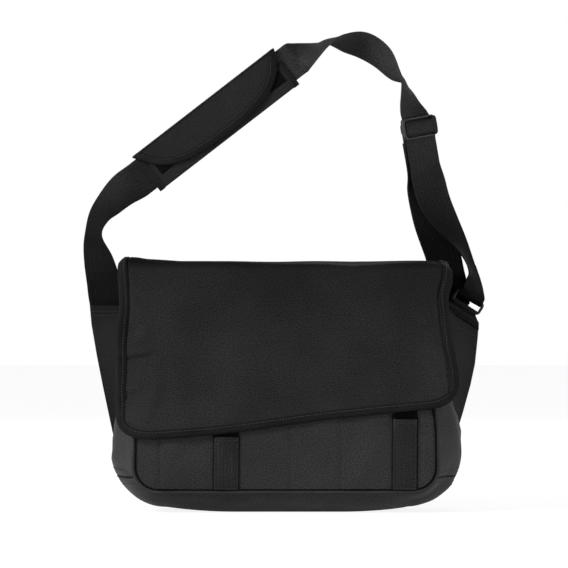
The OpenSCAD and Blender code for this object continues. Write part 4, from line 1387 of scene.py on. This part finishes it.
def slider():
    """Frame with a middle bar and a bridge at each side."""
    x, z = rounded_loop(-23.2, 22.6, 9.6, radius=3.4, steps=8, spacing=1.6).T
    path = slider_at(x, lerp(-2.6, 3.4, smooth((x - 20) / 7)), z)
    section = ellipse(1.35, 2.0, 16)
    section[np.abs(section[:, 0]) >= 0.7 * 1.35, 0] *= 0.95
    vertices, faces, uvs = loop_sweep(path, SLIDER_OUT, section)
    # the left side is thicker
    thicken = 0.75 * smooth((-19 - np.repeat(x, 16)) / 4.0)
    vertices = vertices + (vertices - np.repeat(path, 16, axis=0)) * thicken[:, None]
    parts = [(vertices, faces, uvs),
             sweep(slider_at(np.linspace(-25, 25, 12), SLIDER_BAR_OUT, 0), SLIDER_OUT, SLIDER_UP,
                   ellipse(1.5, 1.5, 16))]
    for x, start in ((-24.9, -1.0), (24.9, 3.0)):
        path = slider_at(x, np.linspace(start, 6.0, 10), 0)
        parts.append(sweep(path, SLIDER_SIDE, SLIDER_UP, ellipse(0.9, 6.5, 18)))
    make("slider_moulding", merge(parts), "slider", MAT.plastic, "plastic", "slider_frame")


def strap_end():
    """End of the webbing, sewn round the middle bar."""
    section = ([(7.5, -43.5), (7.55, -12)] + arc(SLIDER_BAR_OUT, 0, 3.1, 0, 265, 22)
               + arc(SLIDER_BAR_OUT, 0, 1.75, 265, 0, 22) + [(6.15, -4), (5.0, -8), (4.9, -43.5)])
    vertices, faces, uvs = sweep(slider_at(np.linspace(-23.6, 23.6, 26), 0, 0), SLIDER_OUT,
                                 SLIDER_UP, section)
    make("strap_end_fold", (vertices, faces, uvs[:, ::-1]), "slider", MAT.strap, "webbing",
         "strap_end_tab")
    for z in (-14, -19, -36, -40):
        stitch("tab_stitches", "slider", MAT.thread,
               slider_at(np.linspace(-22, 22, 50), 7.6, z), SLIDER_OUT,
               pitch=3.2, length=2.3, radius=0.38)


def webbing_roll():
    """Rounded roll of webbing over the slider, widening at its right end."""
    end, reach = 20, 8.4
    stations = np.concatenate([np.linspace(-23.4, end, 26),
                               end + reach * np.sin(np.linspace(0.1, np.pi / 2, 14))])
    x, z = grid(stations, np.linspace(-9.9, 9.9, 30))
    past = np.maximum(x - end, 0)
    rounding = np.sqrt(np.maximum(1 - (past / 8.5) ** 2, 0.02))
    wide = smooth((x - 18.5) / 3.5)
    bulge = ((3.6 + 1.6 * wide) * (0.25 + 0.75 * rounding)
             * np.sqrt(np.maximum(1 - (z / 10.2) ** 2, 0)) ** (1 - 0.55 * wide))
    z = z * (1 + 0.33 * wide) * (1 - 0.22 * (past / reach) ** 3)
    make("adjuster_webbing_roll", sheet(slider_at(x, -0.9 - bulge, z), slider_at(x, -0.7, z),
                                        x, z), "slider", MAT.strap, "webbing")


# ------------------------------------------------------------------ shoulder pad
PAD_HALF, PAD_HALF_WIDTH = 117.0, 28.0
PAD_CORNER = 8


def pad_at(along, y, up):
    """Point of the pad: along and up in its own plane, y to the back."""
    return placed(PAD_CENTRE, (PAD_ALONG, PAD_UP, BACKWARD), along, up, y)


def pad_cushion():
    """Cushion behind the webbing, its skin towards the webbing and its edge tape."""
    across, up = grid(np.linspace(-1, 1, 110), np.linspace(-1, 1, 34))
    # pull the corners of the rectangle in to arcs
    flat_x, flat_z = PAD_HALF - 1.5 - PAD_CORNER, PAD_HALF_WIDTH - 1.5 - PAD_CORNER
    x, z = across * (PAD_HALF - 1.5), up * (PAD_HALF_WIDTH - 1.5)
    past_x = np.clip((np.abs(x) - flat_x) / PAD_CORNER, 0, 1)
    past_z = np.clip((np.abs(z) - flat_z) / PAD_CORNER, 0, 1)
    longest = np.maximum(np.maximum(past_x, past_z), 1e-6)
    pull = PAD_CORNER / np.maximum(np.sqrt(past_x ** 2 + past_z ** 2) / longest, 1)
    x = np.sign(x) * (np.minimum(np.abs(x), flat_x) + past_x * pull)
    z = np.sign(z) * (np.minimum(np.abs(z), flat_z) + past_z * pull)
    edge = np.minimum(1, np.minimum((1 - np.abs(across)) * PAD_HALF,
                                    (1 - np.abs(up)) * PAD_HALF_WIDTH) / 6.0)
    outer = pad_at(x, 4.2 + 3.6 * np.sqrt(edge), z)
    inner = pad_at(x, 3.4 - 1.6 * np.sqrt(edge), z)
    swell = puff(outer, inner, (edge < 0.05).astype(float), pressure=8.0, limit=3.0)
    swell = (np.minimum(smooth_grid(swell, 2), 2.4)
             * (1 - np.abs(across) ** 12) * (1 - np.abs(up) ** 6))
    make("pad_cushion", sheet(outer + swell[..., None] * BACKWARD, inner, x, z), "pad",
         MAT.mesh, "cloth", "pad_shell", "pad_foam")
    make("pad_strap_side", sheet(pad_at(x, 1.05, z), pad_at(x, 1.75, z), x, z), "pad",
         MAT.lining, "lining", "pad_lining")
    half, half_width = PAD_HALF - 1.8 - PAD_CORNER, PAD_HALF_WIDTH - 1.8 - PAD_CORNER
    loop = rounded_loop(-half, half, half_width, PAD_CORNER, steps=10, spacing=3.0)
    make("pad_cushion_binding", loop_sweep(pad_at(loop[:, 0], 3.6, loop[:, 1]), BACKWARD,
                                           ellipse(1.84, 2.3, 12)), "pad", MAT.binding,
         "binding")


def flange_at(along, share, offset):
    """Lower flange folded up over the webbing; share runs from the cushion to its free edge."""
    bend, straight = 6.0, 36
    distance = share * (bend + straight)
    angle = np.clip(distance / bend, 0, 1) * np.pi
    radius = bend / np.pi + offset
    bottom = -PAD_HALF_WIDTH + 0.6
    up = np.where(distance < bend, bottom - radius * np.sin(angle) * 0.9,
                  bottom + (distance - bend))
    y = np.where(distance < bend, -0.35 + radius * np.cos(angle), -0.35 - radius)
    ripple = 0.5 * waves(along, up, 30, 90, count=6, seed=71) * smooth((distance - bend) / 12)
    return pad_at(along, np.minimum(y - np.maximum(ripple, -0.2) * (distance > bend), y), up)


def pad_flange():
    along, share = grid(np.linspace(-1, 1, 100) * (PAD_HALF - 0.8), np.linspace(0, 1, 46))
    make("pad_lower_flange", sheet(flange_at(along, share, 0.9), flange_at(along, share, 0.0),
                                   along, share * 42), "pad", MAT.flange, "cloth", "pad_flange")
    section = [(-4.4, -0.9), (-4.2, 0.5), (-3.4, 0.75), (3.4, 0.8), (4.6, 0.5), (5.0, -0.2),
               (4.6, -0.9)]
    share = np.linspace(0.0, 1, 40)
    parts = []
    for side in (-1, 1):
        along = np.full(40, side * (PAD_HALF - 4.0))
        path = flange_at(along, share, 0.9)
        out = unit(flange_at(along, share, 1.9) - path)
        parts.append(sweep(path + out * 0.05, PAD_ALONG, out, section))
        stitch("pad_stitches", "pad", MAT.thread,
               flange_at(along - side * 3.0, share, 1.75)[3:-1], out[3:-1],
               pitch=3.2, length=2.3, radius=0.36)
    make("pad_flange_end_tape", merge(parts), "pad", MAT.binding, "binding",
         "pad_flange_binding")
    # painted shadows: near-black patches in the recesses at both ends of the flange
    parts = []
    for left, right, bottom in ((-101.5, -74, -13.4), (81, 106.5, -16.2)):
        along, up = grid(np.linspace(left, right, 18), np.linspace(bottom, 1, 10))
        parts.append(sheet(pad_at(along, -4.25, up), pad_at(along, -3.6, up), along, up))
    make("pad_side_painted_shadows", merge(parts), "pad", MAT.shadow, "binding")


def pad_strip(half_length, bottom, top, front, back):
    """Flat strip of closure tape with thinned edges."""
    along, up = grid(np.linspace(-half_length, half_length, 40), np.linspace(bottom, top, 14))
    thin = 1 - crown(np.linspace(0, 1, 40), np.linspace(0, 1, 14), 10)
    return sheet(pad_at(along, front + (back - front) * 0.4 * thin, up),
                 pad_at(along, back, up), along, up)


PAD_FLAP_TOP, PAD_FLAP_Y = 29.0, -6.1
PAD_FLAP_EDGE = relax(resample([        # along the pad, up
    (-118.5, 29.0), (-116.5, 24.5), (-111, 18), (-102, 4), (-96, -1.5), (-90, -6), (-81, -11.5),
    (-70, -16), (-57, -19.8), (-36, -22.6), (-16, -23.6), (10, -24.0), (27, -23.7), (45, -22.0),
    (59, -19.6), (72, -16.4), (81, -13.2), (92, -6.6), (102, 0.8), (110, 11), (116.5, 22),
    (118.5, 29.0)], 1.0), 20)


def pad_flap():
    """Padded flap with a rounded lower edge, in front of the webbing."""
    columns = lerp(-118.3, 118.3, eased(120, 0.4))
    bottom = np.interp(columns, *PAD_FLAP_EDGE.T)
    rows = np.linspace(0, 1, 34)
    x = np.repeat(columns[:, None], 34, 1)
    z = bottom[:, None] + (PAD_FLAP_TOP - bottom)[:, None] * rows[None]
    gap = np.full(x.shape, 1e9)
    for edge_x, edge_z in PAD_FLAP_EDGE[::2]:
        gap = np.minimum(gap, np.hypot(x - edge_x, z - edge_z))
    rise = 1 - np.exp(-(gap / 9.0) ** 1.3)
    rise = rise * (0.55 + 0.45 * smooth((PAD_FLAP_TOP - z) / 8))
    inner = pad_at(x, -5.0, z)
    pinned = ((gap < 1.5) | (z > 28.4)).astype(float)
    swell = puff(pad_at(x, PAD_FLAP_Y - 0.9 * rise, z), inner, pinned, pressure=7.0, limit=2.6)
    swell = (np.minimum(smooth_grid(swell, 2), 2.3) * rise
             + 0.45 * waves(x, z, 30, 90, count=7, seed=81) * rise)
    height = 0.9 * rise + np.maximum(swell, 0)
    make("pad_flap_cushion", sheet(pad_at(x, PAD_FLAP_Y - height, z), inner, x, z), "pad_flap",
         MAT.pad, "cloth", "pad_flap")
    pad_flap_binding(np.vectorize(
        lambda x, z: PAD_FLAP_Y - surface_at(x, z, columns, height_z, height)
        if False else PAD_FLAP_Y - surface_at(x, z, columns, z_grid, height))
        if False else pad_front_reader(columns, z, height))


def pad_front_reader(columns, grid_z, height):
    """Function that gives y of the front of the pad flap."""
    return np.vectorize(lambda x, z: PAD_FLAP_Y - surface_at(x, z, columns, grid_z, height))


def pad_flap_binding(front_y):
    """Tape round the rounded edge; its inner side follows the swell of the cushion."""
    middle_y = -6.3
    section = [(8.6, -0.1), (8.3, 0.9), (6.0, 1.75), (3.0, 1.9), (0.6, 1.6), (-0.9, 0.9),
               (-1.3, 0), (-0.9, -0.9), (0.8, -1.55), (5, -1.6), (8.3, -1.4)]
    edge = resample(PAD_FLAP_EDGE, 2.4)
    inward = left_of(edge)
    rings = []
    for distance, offset in section:
        lift = 0.0
        if offset > 0:
            cushion = front_y(*(edge + inward * max(distance, 0.3)).T)
            lift = np.minimum(cushion - middle_y - 0.2, 0) * smooth(distance / 8.0)
        x, z = (edge + inward * distance).T
        rings.append(pad_at(x, middle_y - offset + lift, np.minimum(z, 29.3)))
    mesh = tube(np.stack(rings, 1), np.arange(len(section)) * 2.0, run_length(edge))
    make("pad_flap_edge_binding", mesh, "pad_flap", MAT.binding, "binding", "pad_flap_binding")
    x, z = (edge + inward * 7.0).T
    y = np.minimum(middle_y - 1.4, front_y(x, np.minimum(z, 27)) - 1.6)
    stitch("pad_flap_stitches", "pad_flap", MAT.thread, pad_at(x, y, z)[z < 26], FORWARD,
           pitch=3.4, length=2.4, radius=0.36)


def pad_hinge():
    """Cloth from the cushion's top edge over to the flap."""
    along, share = grid(np.linspace(-1, 1, 90) * (PAD_HALF - 1.0), np.linspace(0, 1, 22))
    angle = share * np.pi
    outer, inner = (pad_at(along, -2.0 + (4.6 + offset) * np.cos(angle) - 0.2,
                           PAD_HALF_WIDTH - 0.6 + (0.9 + offset) * np.sin(angle) * 1.2)
                    for offset in (0.9, 0.0))
    top = PAD_CENTRE + PAD_UP * PAD_HALF_WIDTH
    make("pad_flap_hinge_cloth", sheet(outer, inner, along, share * 14),
         ("pad", "pad_flap", top + 1.0 * BACKWARD, top + 5.5 * FORWARD), MAT.pad, "cloth")


# ------------------------------------------------------------------ floor, lights and camera
def add_floor():
    """White floor that glows a little for the camera and is plain for other rays."""
    bpy.ops.mesh.primitive_plane_add(size=14, location=(0, 2.0, 0))
    floor = bpy.context.object
    floor.name = "floor"
    s = Surface("floor_white")
    s.fill(s.shader, Base_Color=(0.75, 0.75, 0.75, 1), Roughness=0.9)
    glow = s.new("Emission", Color=(1, 1, 1, 1), Strength=0.86)
    matt = s.new("BsdfDiffuse", Color=(0.32, 0.32, 0.32, 1))
    both, mix = s.new("AddShader"), s.new("MixShader")
    sockets = ((both.inputs[0], glow.outputs[0]), (both.inputs[1], matt.outputs[0]),
               (mix.inputs[0], s.new("LightPath").outputs["Is Camera Ray"]),
               (mix.inputs[1], s.shader.outputs[0]), (mix.inputs[2], both.outputs[0]),
               (s.tree.nodes["Material Output"].inputs["Surface"], mix.outputs[0]))
    for socket, value in sockets:
        s.put(socket, value)
    floor.data.materials.append(s.material)


def add_world():
    """White to the camera, dimmer as a light."""
    world = bpy.data.worlds.new("studio")
    bpy.context.scene.world = world
    world.use_nodes = True
    nodes = Nodes(world.node_tree)
    camera_ray = nodes.new("LightPath").outputs["Is Camera Ray"]
    strength = nodes.new("MapRange", Value=camera_ray, To_Min=0.30, To_Max=1.0)
    background = nodes.tree.nodes["Background"]
    nodes.put(background.inputs[0], (1, 1, 1, 1))
    nodes.put(background.inputs[1], strength.outputs["Result"])


def area(name, place, aim, size, power, height=None):
    light = bpy.data.lights.new(name, "AREA")
    light.energy = power
    light.size = size
    if height:
        light.shape = "RECTANGLE"
        light.size_y = height
    item = bpy.data.objects.new(name, light)
    bpy.context.scene.collection.objects.link(item)
    item.location = place
    item.rotation_euler = (Vector(aim) - Vector(place)).to_track_quat("-Z", "Y").to_euler()


def add_lights():
    area("key_top_left", place=(-2.7, -1.9, 1.8), aim=(-0.05, 0, 0.25), size=0.8, power=78)
    area("low_left", place=(-2.3, -1.0, 0.16), aim=(-0.15, 0, 0.06), size=0.9, power=15,
         height=0.4)
    area("low_right", place=(2.3, -0.8, 0.2), aim=(0.15, 0, 0.06), size=0.8, power=21,
         height=0.4)
    area("fill_front", place=(0.9, -3.9, 0.35), aim=(0, 0, 0.25), size=1.8, power=17)
    area("top_soft", place=(0.2, -0.2, 2.6), aim=(0, 0, 0.3), size=1.6, power=2)
    area("back_soft", place=(0.6, 2.8, 1.6), aim=(0, 0, 0.3), size=1.8, power=11)


def add_camera():
    distance, view_width, sensor = 5.0, 0.74976, 36     # metres, metres, millimetres
    camera = bpy.data.cameras.new("camera")
    item = bpy.data.objects.new("camera", camera)
    bpy.context.scene.collection.objects.link(item)
    item.location = (-0.0053, -distance, 0.2996)
    item.rotation_euler = (math.radians(90), 0, 0)
    camera.sensor_width = sensor
    camera.lens = sensor * distance / view_width
    camera.clip_end = 50
    bpy.context.scene.camera = item
    bpy.context.scene.view_settings.view_transform = "Standard"
    bpy.context.scene.view_settings.look = "None"


# ------------------------------------------------------------------ build
gussets_and_base()
front_panel()
back_panel()
back_piping()
pocket_panel()
pocket_welt()
sleeve("left_webbing_sleeve", left=-97.2, width=32.4, top=100.2, gape=2.4, seed=97,
       replaced="left_sleeve")
sleeve("right_webbing_sleeve", left=136.0, width=31.6, top=123.4, gape=4.6, seed=136,
       replaced="right_sleeve")
sleeve_painted_shadows()
loop_tapes()
mouth_binding()
lining()
base_board()
flap_cloths()
flap_bindings()
hook_tapes()
wings()
ring_keeper()
shoulder_webbing()
webbing_tail()
ring()
slider()
strap_end()
webbing_roll()
pad_cushion()
pad_flange()
make("pad_loop_strip", pad_strip(80, -14, 7, front=-3.7, back=-2.75), "pad", MAT.loops,
     "closure_tape", "pad_loop_tape")
pad_flap()
make("pad_hook_strip", pad_strip(63, -12, 6.5, front=-5.0, back=-4.2), "pad_flap", MAT.hooks,
     "closure_tape", "pad_hook_tape")
pad_hinge()
make_stitches()
add_floor()
add_world()
add_lights()
add_camera()
